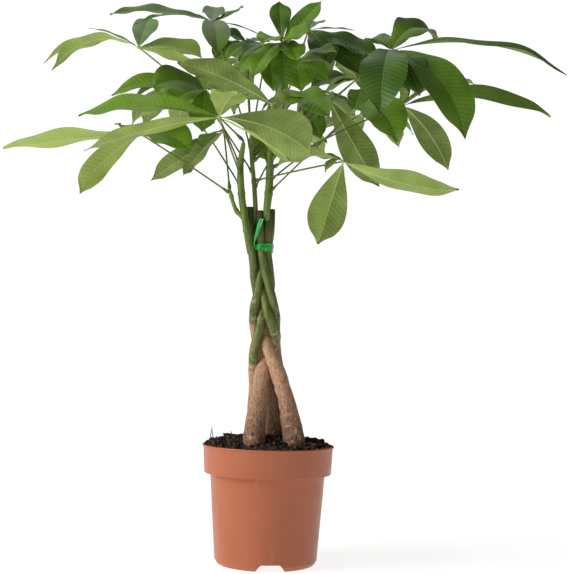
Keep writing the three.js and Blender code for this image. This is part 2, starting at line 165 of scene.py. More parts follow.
def add_object(name: str, data: bpy.types.ID) -> bpy.types.Object:
    """Puts new data into the scene.

    Args:
        name: the object's name.
        data: its mesh, light or camera.

    Returns:
        The object.
    """
    made = bpy.data.objects.new(name, data)
    bpy.context.scene.collection.objects.link(made)
    return made


def add_mesh(name: str, bm: bmesh.types.BMesh) -> bpy.types.Object:
    """Puts a finished bmesh into the scene.

    Args:
        name: the name of the object and its mesh.
        bm: the mesh, which is freed here.

    Returns:
        The object.
    """
    mesh = bpy.data.meshes.new(name)
    bm.to_mesh(mesh)
    bm.free()
    return add_object(name, mesh)


def make_piece(
    name: str,
    bm: bmesh.types.BMesh,
    materials: Iterable[bpy.types.Material],
    stands_for: str | None = None,
    sharp_degrees: float = 50.0,
) -> bpy.types.Object:
    """Turns a finished bmesh in metres into a piece of the plant.

    Args:
        name: the piece's name.
        bm: the mesh, which is freed here.
        materials: its materials, by the faces' material numbers.
        stands_for: the CAD node that it replaces, if any.
        sharp_degrees: edges that turn by more than this are shaded sharp.

    Returns:
        The new object.
    """
    piece = add_mesh(name, bm)
    piece.data.shade_smooth()
    piece.data.set_sharp_from_angle(angle=math.radians(sharp_degrees))
    for material in materials:
        piece.data.materials.append(material)
    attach(piece, "root")
    if stands_for:
        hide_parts(stands_for)
    return piece


def spin_section(section: Iterable[tuple[float, float]], sides: int) -> bmesh.types.BMesh:
    """Spins a section round the upright axis into a closed body.

    Args:
        section: the radius and height in mm of each corner, from the axis back to the axis.
        sides: how many sides the body has.

    Returns:
        The body.
    """
    bm = bmesh.new()
    verts = [bm.verts.new((radius * MM, 0, height * MM)) for radius, height in section]
    edges = [bm.edges.new(pair) for pair in zip(verts, verts[1:])]
    bmesh.ops.spin(
        bm,
        geom=verts + edges,
        axis=(0, 0, 1),
        cent=(0, 0, 0),
        dvec=(0, 0, 0),
        angle=2 * math.pi,
        steps=sides,
        use_merge=True,
    )
    bmesh.ops.remove_doubles(bm, verts=bm.verts[:], dist=WELD)
    return bm


def round_edges(
    bm: bmesh.types.BMesh, edges: list[bmesh.types.BMEdge], radius: float
) -> list[bmesh.types.BMVert]:
    """Rounds edges with a bevel.

    Args:
        bm: the mesh.
        edges: its edges.
        radius: in mm.

    Returns:
        The new vertices.
    """
    rounded = bmesh.ops.bevel(
        bm, geom=edges, offset=radius * MM, affect="EDGES", segments=3, profile=0.5, material=-1
    )
    return rounded["verts"]


def add_tube(
    bm: bmesh.types.BMesh,
    stations: int,
    sides: int,
    place: Callable[[bmesh.types.BMVert, float, float], Vector],
) -> set[bmesh.types.BMFace]:
    """Adds a closed tube: a grid that is rolled up along its side edges and capped.

    Args:
        bm: the mesh to add to.
        stations: how many spans it has along its length.
        sides: how many sides it has around.
        place: gives a vertex's point from its share along and its angle around.

    Returns:
        The tube's faces.
    """
    made = bmesh.ops.create_grid(bm, x_segments=sides, y_segments=stations, size=1.0)
    verts = made["verts"]
    for vert in verts:
        vert.co = place(vert, (vert.co.y + 1) / 2, math.pi * vert.co.x)
    bmesh.ops.remove_doubles(bm, verts=verts, dist=WELD)
    rolled = {vert for vert in verts if vert.is_valid}
    ends = {edge for vert in rolled for edge in vert.link_edges if edge.is_boundary}
    bmesh.ops.holes_fill(bm, edges=list(ends), sides=0)
    faces = {face for vert in rolled for face in vert.link_faces}
    bmesh.ops.recalc_face_normals(bm, faces=list(faces))
    return faces


# ---------------------------------------------------------------- finishes
@dataclass(frozen=True)
class Finish:
    """A real material. Its shader is fed by the pattern that each kind works out."""

    name: str

    def pattern(self, add: AddNode, place: bpy.types.NodeSocket) -> dict[str, object]:
        """Works out what the shader is fed.

        Args:
            add: add_node for this material's tree.
            place: the object's own coordinates, in metres.

        Returns:
            The shader's inputs.
        """
        raise NotImplementedError

    def material(self) -> bpy.types.Material:
        """The finish's one material, made when it is first asked for.

        Returns:
            The material.
        """
        made = bpy.data.materials.get(self.name)
        if made:
            return made
        made = bpy.data.materials.new(self.name)
        made.use_nodes = True
        add = partial(add_node, made.node_tree)
        shader = made.node_tree.nodes["Principled BSDF"]
        place = add("TexCoord", {}, "Object")
        fill_inputs(made.node_tree, shader, self.pattern(add, place))
        return made


@dataclass(frozen=True)
class LeafSkin(Finish):
    """One face of a living leaf, whose veins run in feather lines from a paler midrib.

    Thin wax gives the upper face a soft sheen, and the under face is nearly matt.
    """

    mature: str
    young: str
    rib: str
    roughness: float
    rib_width: float
    rib_share: float
    vein_share: float
    vein_depth: float

    VEIN_SPACING = 6.0  # mm between side veins
    VEIN_SLANT = 0.55  # how far a side vein runs forwards for each mm sideways
    DRY = "#6A4A26"  # a tip that has dried out

    def pattern(self, add: AddNode, place: bpy.types.NodeSocket) -> dict[str, object]:
        """Draws the veins from the blade's own across, along and tone values."""
        blade = add("Attribute", {}, "Vector", attribute_name="blade")
        tip = add("Attribute", {}, "Vector", attribute_name="tip")
        reached, dry = (add("SeparateXYZ", {0: tip}, axis) for axis in "XY")
        side, along, tone = (add("SeparateXYZ", {0: blade}, axis) for axis in "XYZ")
        out = add("Math", {0: side}, operation="ABSOLUTE")
        slant = add("Math", {0: out, 1: self.VEIN_SLANT}, operation="MULTIPLY")
        run = add("Math", {0: along, 1: slant}, operation="SUBTRACT")
        wobble = add("TexNoise", {"Vector": place, "Scale": per_metre(18), "Detail": 1})
        turns = 2 * math.pi * per_metre(self.VEIN_SPACING)
        phase = add("Math", {0: run, 1: turns, 2: wobble}, operation="MULTIPLY_ADD")
        wave = add("Math", {0: phase}, operation="COSINE")
        cloud = add("TexNoise", {"Vector": place, "Scale": per_metre(30), "Detail": 4})
        share = add(
            "MapRange", {0: cloud, "From Min": 0.35, "From Max": 0.65, "To Max": self.vein_share}
        )
        vein = add("MapRange", {0: wave, "From Min": 0.7, "From Max": 1.0, "To Max": share}, **SOFT)
        rib_edge = self.rib_width / 2 * MM
        taper = add("MapRange", {0: reached, "To Min": rib_edge, "To Max": rib_edge * 0.2})
        core = add("Math", {0: taper, 1: 0.3}, operation="MULTIPLY")
        rib = add(
            "MapRange",
            {0: out, "From Min": taper, "From Max": core, "To Max": self.rib_share},
            **SOFT,
        )
        shade = add(
            "MapRange", {0: cloud, "From Min": 0.3, "From Max": 0.7, "To Min": -0.2, "To Max": 0.2}
        )
        # the tone from the mesh, partly the leaf's age and partly painted shade, with a random
        # cloud
        age_and_shade = add("Math", {0: tone, 1: shade}, operation="ADD", use_clamp=True)
        blade_colour = add("Mix", {0: age_and_shade, 6: self.mature, 7: self.young}, 2, **RGBA)
        veined = add("Mix", {0: vein, 6: blade_colour, 7: self.rib}, 2, **RGBA)
        ribbed = add("Mix", {0: rib, 6: veined, 7: self.rib}, 2, **RGBA)
        tipped = add("Mix", {0: dry, 6: ribbed, 7: self.DRY}, 2, **RGBA)
        cells = add("TexNoise", {"Vector": place, "Scale": per_metre(1.6), "Detail": 2})
        faint = add("Math", {0: cells, 1: 0.4}, operation="MULTIPLY")
        ridges = add("Math", {0: wave, 1: 0.4, 2: faint}, operation="MULTIPLY_ADD")
        bump = add("Bump", {"Height": ridges, "Distance": self.vein_depth * MM, "Strength": 0.7})
        return {
            "Base Color": tipped,
            "Roughness": self.roughness,
            "IOR": WAX_IOR,
            "Normal": bump,
        }


@dataclass(frozen=True)
class PottingPlastic(Finish):
    """Moulded polypropylene in a terracotta colour: satin, faintly clouded and scuffed."""

    body: str = "#B3643E"
    cloud: str = "#A85833"
    scuff: str = "#C08466"

    def pattern(self, add: AddNode, place: bpy.types.NodeSocket) -> dict[str, object]:
        """Clouds the colour and draws the faint upright scuffs of handling."""
        cloud = add("TexNoise", {"Vector": place, "Scale": per_metre(60), "Detail": 3})
        tint = add("Mix", {0: cloud, 6: self.body, 7: self.cloud}, 2, **RGBA)
        upright = add("Mapping", {"Vector": place, "Scale": (1.0, 1.0, 0.12)})
        rub = add("TexNoise", {"Vector": upright, "Scale": per_metre(9), "Detail": 4})
        scuff = add(
            "MapRange",
            {0: rub, "From Min": 0.58, "From Max": 0.76, "To Max": 0.16},
            **SOFT,
        )
        colour = add("Mix", {0: scuff, 6: tint, 7: self.scuff}, 2, **RGBA)
        touch = add("TexNoise", {"Vector": place, "Scale": per_metre(14), "Detail": 3})
        rough = add(
            "MapRange", {0: touch, "From Min": 0.3, "From Max": 0.7, "To Min": 0.46, "To Max": 0.36}
        )
        # the mould's spark texture is finer than the render can show, so it is drawn at 0.9 mm
        spark = add("TexNoise", {"Vector": place, "Scale": per_metre(0.9), "Detail": 2})
        bump = add("Bump", {"Height": spark, "Distance": 0.05 * MM, "Strength": 0.5})
        return {"Base Color": colour, "Roughness": rough, "IOR": PLASTIC_IOR, "Normal": bump}


@dataclass(frozen=True)
class Peat(Finish):
    """Moist peat and bark crumbs: nearly black and matt, with browner dry spots."""

    wet: str = "#1E1510"
    dry: str = "#665041"

    def pattern(self, add: AddNode, place: bpy.types.NodeSocket) -> dict[str, object]:
        """Spots the peat with dry crumbs and breaks its surface up."""
        damp = add("TexNoise", {"Vector": place, "Scale": per_metre(4.5), "Detail": 5})
        spots = add("MapRange", {0: damp, "From Min": 0.45, "From Max": 0.66}, **SOFT)
        colour = add("Mix", {0: spots, 6: self.wet, 7: self.dry}, 2, **RGBA)
        grit = add("TexNoise", {"Vector": place, "Scale": per_metre(1.1), "Detail": 4})
        bump = add("Bump", {"Height": grit, "Distance": 0.9 * MM, "Strength": 1.0})
        return {"Base Color": colour, "Roughness": 0.92, "IOR": ORGANIC_IOR, "Normal": bump}


@dataclass(frozen=True)
class Straw(Finish):
    """Dry plant fibre: pale, matt and blotched brown where it has rotted."""

    pale: str = "#C9B48F"
    brown: str = "#6B5238"

    def pattern(self, add: AddNode, place: bpy.types.NodeSocket) -> dict[str, object]:
        """Blotches the fibre."""
        rot = add("TexNoise", {"Vector": place, "Scale": per_metre(7), "Detail": 4})
        colour = add("Mix", {0: rot, 6: self.pale, 7: self.brown}, 2, **RGBA)
        bump = add("Bump", {"Height": rot, "Distance": 0.1 * MM, "Strength": 0.6})
        return {"Base Color": colour, "Roughness": 0.8, "IOR": ORGANIC_IOR, "Normal": bump}


@dataclass(frozen=True)
class StemBark(Finish):
    """The skin of a woody stem: corky and cracked lengthwise low down, smooth and green above.

    The mesh's own skin value says how green each point is, where a scar has left raw cork (or,
    below 0, where a leaf-scar line runs), and how close the sawn end is.
    """

    cork: str = "#C19877"
    crack: str = "#9A755B"
    aged: str = "#96705A"
    aged_crack: str = "#674837"
    pore: str = "#5E4433"
    raw: str = "#D0A67C"
    green: str = "#60702C"
    green_dark: str = "#46551F"
    tan: str = "#AC9870"
    cut_end: str = "#3E4622"

    ROUGH_BELOW = 160  # mm up, where the bark is old and fully cracked
    SMOOTH_FROM = 250  # mm up, where the bark is young and no longer cracked

    def pattern(self, add: AddNode, place: bpy.types.NodeSocket) -> dict[str, object]:
        """Cracks and flecks the cork, streaks the green, and lays the scars over both."""
        skin = add("Attribute", {}, "Vector", attribute_name="skin")
        green_at, scar_at, cut_at = (add("SeparateXYZ", {0: skin}, axis) for axis in "XYZ")
        height = add("SeparateXYZ", {0: place}, "Z")
        young, old = self.SMOOTH_FROM * MM, self.ROUGH_BELOW * MM
        low = add("MapRange", {0: height, "From Min": young, "From Max": old})
        upright = add("Mapping", {"Vector": place, "Scale": (1.0, 1.0, 0.45)})
        fissure = add("TexNoise", {"Vector": upright, "Scale": per_metre(2.6), "Detail": 5})
        cracks = add("MapRange", {0: fissure, "From Min": 0.4, "From Max": 0.7}, **SOFT)
        clean = add("Mix", {0: cracks, 6: self.cork, 7: self.crack}, 2, **RGBA)
        rough_bark = add("Mix", {0: cracks, 6: self.aged, 7: self.aged_crack}, 2, **RGBA)
        wood = add("Mix", {0: low, 6: clean, 7: rough_bark}, 2, **RGBA)
        fleck = add("TexNoise", {"Vector": place, "Scale": per_metre(2.2), "Detail": 3})
        flecks = add(
            "MapRange",
            {0: fleck, "From Min": 0.58, "From Max": 0.68, "To Max": 0.6},
            **SOFT,
        )
        flecked = add("Mix", {0: flecks, 6: wood, 7: self.raw}, 2, **RGBA)
        lying = add("Mapping", {"Vector": place, "Scale": (1.0, 1.0, 3.5)})
        dash = add("TexNoise", {"Vector": lying, "Scale": per_metre(4.5), "Detail": 2})
        dashes = add(
            "MapRange",
            {0: dash, "From Min": 0.62, "From Max": 0.72, "To Max": 0.45},
            **SOFT,
        )
        pored = add("Mix", {0: dashes, 6: flecked, 7: self.pore}, 2, **RGBA)
        drawn = add("Mapping", {"Vector": place, "Scale": (1.0, 1.0, 0.1)})
        streak = add("TexNoise", {"Vector": drawn, "Scale": per_metre(5), "Detail": 4})
        streaks = add("MapRange", {0: streak, "From Min": 0.35, "From Max": 0.7}, **SOFT)
        living = add("Mix", {0: streaks, 6: self.green, 7: self.green_dark}, 2, **RGBA)
        mottle = add("TexNoise", {"Vector": upright, "Scale": per_metre(5), "Detail": 5})
        corkiness = add("MapRange", {0: green_at, "To Min": 0.95, "To Max": 0.12})
        corked = add(
            "MapRange",
            {0: mottle, "From Min": 0.46, "From Max": 0.58, "To Max": corkiness},
            **SOFT,
        )
        patched = add("Mix", {0: corked, 6: living, 7: self.tan}, 2, **RGBA)
        fresh = add("Mix", {0: cut_at, 6: patched, 7: self.cut_end}, 2, **RGBA)
        edge = add(
            "MapRange",
            {0: fissure, "From Min": 0.25, "From Max": 0.75, "To Min": 0.2, "To Max": -0.2},
        )
        ragged = add("Math", {0: green_at, 1: edge}, operation="ADD")
        share = add("MapRange", {0: ragged, "From Min": 0.08, "From Max": 0.3}, **SOFT)
        skinned = add("Mix", {0: share, 6: pored, 7: fresh}, 2, **RGBA)
        torn = add("Math", {0: scar_at, 1: 0.7, 2: fleck}, operation="MULTIPLY_ADD")
        scar = add("MapRange", {0: torn, "From Min": 0.9, "From Max": 1.02}, **SOFT)
        bare = add("Mix", {0: scar, 6: skinned, 7: self.raw}, 2, **RGBA)
        line = add("MapRange", {0: scar_at, "From Min": -0.1, "From Max": -1.0, "To Max": 0.75})
        colour = add("Mix", {0: line, 6: bare, 7: self.pore}, 2, **RGBA)
        rough = add("MapRange", {0: share, "To Min": 0.8, "To Max": 0.48})
        depth = add("MapRange", {0: low, "To Min": -0.35, "To Max": -1.0})
        relief = add("Math", {0: cracks, 1: depth}, operation="MULTIPLY")
        bump = add("Bump", {"Height": relief, "Distance": 0.7 * MM, "Strength": 0.8})
        return {"Base Color": colour, "Roughness": rough, "IOR": ORGANIC_IOR, "Normal": bump}


@dataclass(frozen=True)
class GreenSkin(Finish):
    """The smooth living skin of a young shoot or a leaf stalk, streaked and paler at its tip."""

    fresh: str
    dark: str
    tip: str

    def pattern(self, add: AddNode, place: bpy.types.NodeSocket) -> dict[str, object]:
        """Streaks the skin and pales it by the mesh's own skin value."""
        skin = add("Attribute", {}, "Vector", attribute_name="skin")
        tip_at = add("SeparateXYZ", {0: skin}, "Y")
        drawn = add("Mapping", {"Vector": place, "Scale": (1.0, 1.0, 0.12)})
        streak = add("TexNoise", {"Vector": drawn, "Scale": per_metre(4), "Detail": 4})
        streaks = add("MapRange", {0: streak, "From Min": 0.35, "From Max": 0.72}, **SOFT)
        green = add("Mix", {0: streaks, 6: self.fresh, 7: self.dark}, 2, **RGBA)
        colour = add("Mix", {0: tip_at, 6: green, 7: self.tip}, 2, **RGBA)
        bump = add("Bump", {"Height": streak, "Distance": 0.2 * MM, "Strength": 0.6})
        return {"Base Color": colour, "Roughness": 0.5, "IOR": ORGANIC_IOR, "Normal": bump}


@dataclass(frozen=True)
class CutWood(Finish):
    """Sawn end grain that has dried brown: matt, and split from the pith."""

    ring: str = "#54432F"
    split: str = "#2B2017"

    def pattern(self, add: AddNode, place: bpy.types.NodeSocket) -> dict[str, object]:
        """Mottles the cut face."""
        grain = add("TexNoise", {"Vector": place, "Scale": per_metre(1.6), "Detail": 4})
        splits = add("MapRange", {0: grain, "From Min": 0.4, "From Max": 0.65}, **SOFT)
        colour = add("Mix", {0: splits, 6: self.ring, 7: self.split}, 2, **RGBA)
        bump = add("Bump", {"Height": grain, "Distance": 0.4 * MM, "Strength": 1.0})
        return {"Base Color": colour, "Roughness": 0.85, "IOR": ORGANIC_IOR, "Normal": bump}


@dataclass(frozen=True)
class TieFilm(Finish):
    """Flat polypropylene twine: bright green and glossy, with fine ribs along it and darker patches
    of painted shade that stand for its folds.
    """

    bright: str = "#2FC24A"
    shade_green: str = "#0F8F34"

    def pattern(self, add: AddNode, place: bpy.types.NodeSocket) -> dict[str, object]:
        """Paints shade in patches for the folds, and ribs the film."""
        fold = add("TexNoise", {"Vector": place, "Scale": per_metre(4), "Detail": 3})
        # painted shade: darker patches that stand for the twine's folds
        painted_fold_shade = add("MapRange", {0: fold, "From Min": 0.38, "From Max": 0.62}, **SOFT)
        colour = add("Mix", {0: painted_fold_shade, 6: self.bright, 7: self.shade_green}, 2, **RGBA)
        lying = add("Mapping", {"Vector": place, "Scale": (0.3, 0.3, 3.0)})
        ribs = add("TexNoise", {"Vector": lying, "Scale": per_metre(1.6), "Detail": 2})
        bump = add("Bump", {"Height": ribs, "Distance": 0.25 * MM, "Strength": 0.7})
        return {"Base Color": colour, "Roughness": 0.3, "IOR": PLASTIC_IOR, "Normal": bump}


@dataclass(frozen=True)
class GlowingFloor(Finish):
    """The white sheet that the plant stands on, which glows as painted light so that shadows fade.
    """

    sheet_grey: str = "#A8A8A8"
    shade: str = "#A0A0A0"
    white: str = "#FFFFFF"
    glow_near: float = 0.84

    def pattern(self, add: AddNode, place: bpy.types.NodeSocket) -> dict[str, object]:
        """Clouds the sheet very faintly, and lets it glow as painted light, more the farther it
        lies from the middle.
        """
        cloud = add("TexNoise", {"Vector": place, "Scale": per_metre(400), "Detail": 2})
        colour = add("Mix", {0: cloud, 6: self.sheet_grey, 7: self.shade}, 2, **RGBA)
        far = add("VectorMath", {0: place}, "Value", operation="LENGTH")
        # painted light: the sheet glows by itself, more the farther it lies from the middle
        glow = add(
            "MapRange",
            {0: far, "From Min": 0.4, "From Max": 2.5, "To Min": self.glow_near, "To Max": 1.0},
        )
        return {
            "Base Color": colour,
            "Roughness": 0.9,
            "Emission Color": self.white,
            "Emission Strength": glow,
        }


class Dress(Enum):
    """What each of the plant's surfaces is finished in."""

    LEAF_TOP = LeafSkin(
        "waxy_leaf_upper_face", "#40601E", "#6E961C", "#A5B672", 0.4, 1.5, 0.5, 0.16, 0.3
    )
    LEAF_UNDER = LeafSkin(
        "matt_leaf_under_face", "#5E722E", "#A4BA5C", "#BFCB87", 0.6, 2.2, 0.75, 0.2, 0.35
    )
    POT = PottingPlastic("moulded_polypropylene")
    PEAT = Peat("peat_crumbs")
    STRAW = Straw("dry_plant_fibre")
    BARK = StemBark("corky_bark")
    SHOOT = GreenSkin("young_green_shoot", "#6B8230", "#47591F", "#8A9E48")
    STALK = GreenSkin("leaf_stalk_skin", "#6A7A31", "#4D5A26", "#93A95A")
    CUT_WOOD = CutWood("dried_end_grain")
    TIE = TieFilm("polypropylene_twine")
    GLOWING_FLOOR = GlowingFloor("glowing_white_floor")

    def material(self) -> bpy.types.Material:
        """The finish's material."""
        return self.value.material()


# ---------------------------------------------------------------- curves
@dataclass(frozen=True)
class Trunk:
    """The middle line of a stem or a shoot through knots of x, y, z and radius in mm."""

    name: str
    knots: tuple[tuple[float, float, float, float], ...]

    def point(self, along: float) -> Vector:
        """The middle point at a share of the knots.

        Args:
            along: 0 at the foot and 1 at the top.

        Returns:
            The point in mm.
        """
        spans = len(self.knots) - 1
        span = min(int(along * spans), spans - 1)
        share = along * spans - span
        near = [Vector(knot[:3]) for knot in self.knots]
        start, end = near[span], near[span + 1]
        before = near[span - 1] if span else 2 * start - end
        after = near[span + 2] if span + 2 <= spans else 2 * end - start
        leave, arrive = (end - before) / 2, (after - start) / 2
        bend = -3 * start + 3 * end - 2 * leave - arrive
        twist = 2 * start - 2 * end + leave + arrive
        return start + leave * share + bend * share**2 + twist * share**3

    def radius(self, along: float) -> float:
        """The radius in mm at a share of the knots."""
        spans = len(self.knots) - 1
        span = min(int(along * spans), spans - 1)
        low, high = self.knots[span][3], self.knots[span + 1][3]
        return low + (high - low) * (along * spans - span)

    def tangent(self, along: float) -> Vector:
        """The unit direction along the middle line."""
        low, high = max(along - 1e-4, 0.0), min(along + 1e-4, 1.0)
        return (self.point(high) - self.point(low)).normalized()

    def at_height(self, height: float) -> Vector:
        """The first of 101 even points that lies at or above a height in mm."""
        points = (self.point(i / 100) for i in range(101))
        return next(point for point in points if point.z >= height)

    def around(self, along: float, angle: float) -> Vector:
        """The unit direction out of the middle line at an angle."""
        tangent = self.tangent(along)
        side = square_to(Vector((1.0, 0.0, 0.0)), tangent)
        return side * math.cos(angle) + tangent.cross(side) * math.sin(angle)


# ---------------------------------------------------------------- the pot
@dataclass(frozen=True)
class Pot:
    """The moulded nursery pot."""

    height: float = 152
    rim_radius: float = 85.6
    lip_step: float = 1.4
    lip_height: float = 2.2
    rim_draft: float = 1.8
    rim_band: float = 36
    shoulder_radius: float = 74.5
    foot_radius: float = 65.8
    wall: float = 1.8
    floor_height: float = 9
    pad_radius: float = 22
    notch_count: int = 3
    notch_top: float = 25
    notch_foot: float = 39
    notch_height: float = 9
    notch_angle: float = -83.7
    hole_count: int = 6
    hole_radius: float = 5
    hole_ring: float = 42
    hole_angle: float = -55
    sides: int = 144

    NEAR = 1e-5  # metres off a corner ring within which a vertex belongs to it
    NOTCH_OUTSIDE = 6  # mm that a notch's cutter reaches past the foot ring
    NOTCH_INSIDE = 14  # mm that it reaches into the pot
    NOTCH_ROUNDING = 2.5
    HOLE_CUT = 12  # mm, the height of a drain hole's cutter

    def profile(self) -> list[tuple[float, float, float]]:
        """The section from the middle of the floor up the inside and down the outside.

        Returns:
            Radius, height and rounding at each corner, in mm.
        """
        ledge = self.height - self.rim_band
        band_top = self.rim_radius - self.lip_step
        rim_foot = band_top - self.rim_draft
        inside_floor = self.floor_height + self.wall
        foot, wall, pad = self.foot_radius, self.wall, self.pad_radius
        return [
            (0, wall, 0),
            (pad - wall, wall, 1),
            (pad + 1, inside_floor, 1),
            (foot - wall - 1, inside_floor, 0.8),
            (self.shoulder_radius - wall, ledge, 1),
            (rim_foot - wall, ledge + 4, 1),
            (band_top - wall, self.height, 0.7),
            (self.rim_radius, self.height, 0.8),
            (self.rim_radius, self.height - self.lip_height, 0.7),
            (band_top, self.height - self.lip_height - 0.7, 0.3),
            (rim_foot, ledge, 0.5),
            (self.shoulder_radius, ledge - 0.6, 1.2),
            (foot + 0.5, 5.4, 0.4),
            (foot - 0.3, 4.8, 0.4),
            (foot - 2.6, 0, 1.8),
            (foot - 6.4, 0, 0.5),
            (foot - wall - 1.2, self.floor_height, 0.8),
            (pad + 3, self.floor_height, 1),
            (pad, 0, 0.5),
            (0, 0, 0),
        ]

    def shell(self) -> bmesh.types.BMesh:
        """Spins the section into a closed wall and rounds its corner rings.

        Returns:
            The pot without its notches and holes.
        """
        corners = self.profile()
        bm = spin_section(((radius, height) for radius, height, _ in corners), self.sides)
        for radius, height, rounding in corners:
            if not rounding:
                continue
            ring = [
                edge
                for edge in bm.edges
                if all(
                    abs(math.hypot(v.co.x, v.co.y) - radius * MM) < self.NEAR
                    and abs(v.co.z - height * MM) < self.NEAR
                    for v in edge.verts
                )
            ]
            round_edges(bm, ring, rounding)
        bmesh.ops.recalc_face_normals(bm, faces=bm.faces[:])
        return bm

    def cutters(self) -> bmesh.types.BMesh:
        """The notches and drain holes as one mesh of closed blocks.

        Returns:
            The mesh that is taken out of the shell.
        """
        bm = bmesh.new()
        for i in range(self.notch_count):
            made = bmesh.ops.create_cube(bm, size=1.0)
            verts = made["verts"]
            angle = math.radians(self.notch_angle + 360 / self.notch_count * i)
            for vert in verts:
                width = self.notch_top if vert.co.z > 0 else self.notch_foot
                past = self.NOTCH_OUTSIDE if vert.co.y > 0 else -self.NOTCH_INSIDE
                out = self.foot_radius + past
                top = self.notch_height if vert.co.z > 0 else -1.0
                vert.co = Vector((vert.co.x * width, out, top)) * MM
            tops = [
                edge
                for edge in {e for v in verts for e in v.link_edges}
                if all(v.co.z > 0 for v in edge.verts)
                and abs(edge.verts[0].co.y - edge.verts[1].co.y) > 1e-4
            ]
            rounded = round_edges(bm, tops, self.NOTCH_ROUNDING)
            moved = {v for v in verts if v.is_valid} | set(rounded)
            bmesh.ops.rotate(
                bm,
                verts=list(moved),
                cent=(0, 0, 0),
                matrix=Matrix.Rotation(angle - math.pi / 2, 3, "Z"),
            )
        for i in range(self.hole_count):
            angle = math.radians(self.hole_angle + 360 / self.hole_count * i)
            spot = Vector((math.cos(angle), math.sin(angle), 0)) * self.hole_ring
            spot.z = self.floor_height
            bmesh.ops.create_cone(
                bm,
                cap_ends=True,
                segments=32,
                radius1=self.hole_radius * MM,
                radius2=self.hole_radius * MM,
                depth=self.HOLE_CUT * MM,
                matrix=Matrix.Translation(spot * MM),
            )
        bmesh.ops.recalc_face_normals(bm, faces=bm.faces[:])
        return bm

    def build(self) -> None:
        """Cuts the notches and holes out of the shell and dresses the pot."""
        tool = add_mesh("pot_cutters", self.cutters())
        body = add_mesh("pot_rough", self.shell())
        cut = body.modifiers.new("notches and holes", "BOOLEAN")
        cut.operation, cut.solver, cut.object = "DIFFERENCE", "EXACT", tool
        cut_body = body.evaluated_get(bpy.context.evaluated_depsgraph_get())
        bm = bmesh.new()
        bm.from_mesh(cut_body.to_mesh())
        cut_body.to_mesh_clear()
        for thing in (body, tool):
            bpy.data.objects.remove(thing, do_unlink=True)
        make_piece("nursery_pot", bm, [Dress.POT.material()], "pot", 35)


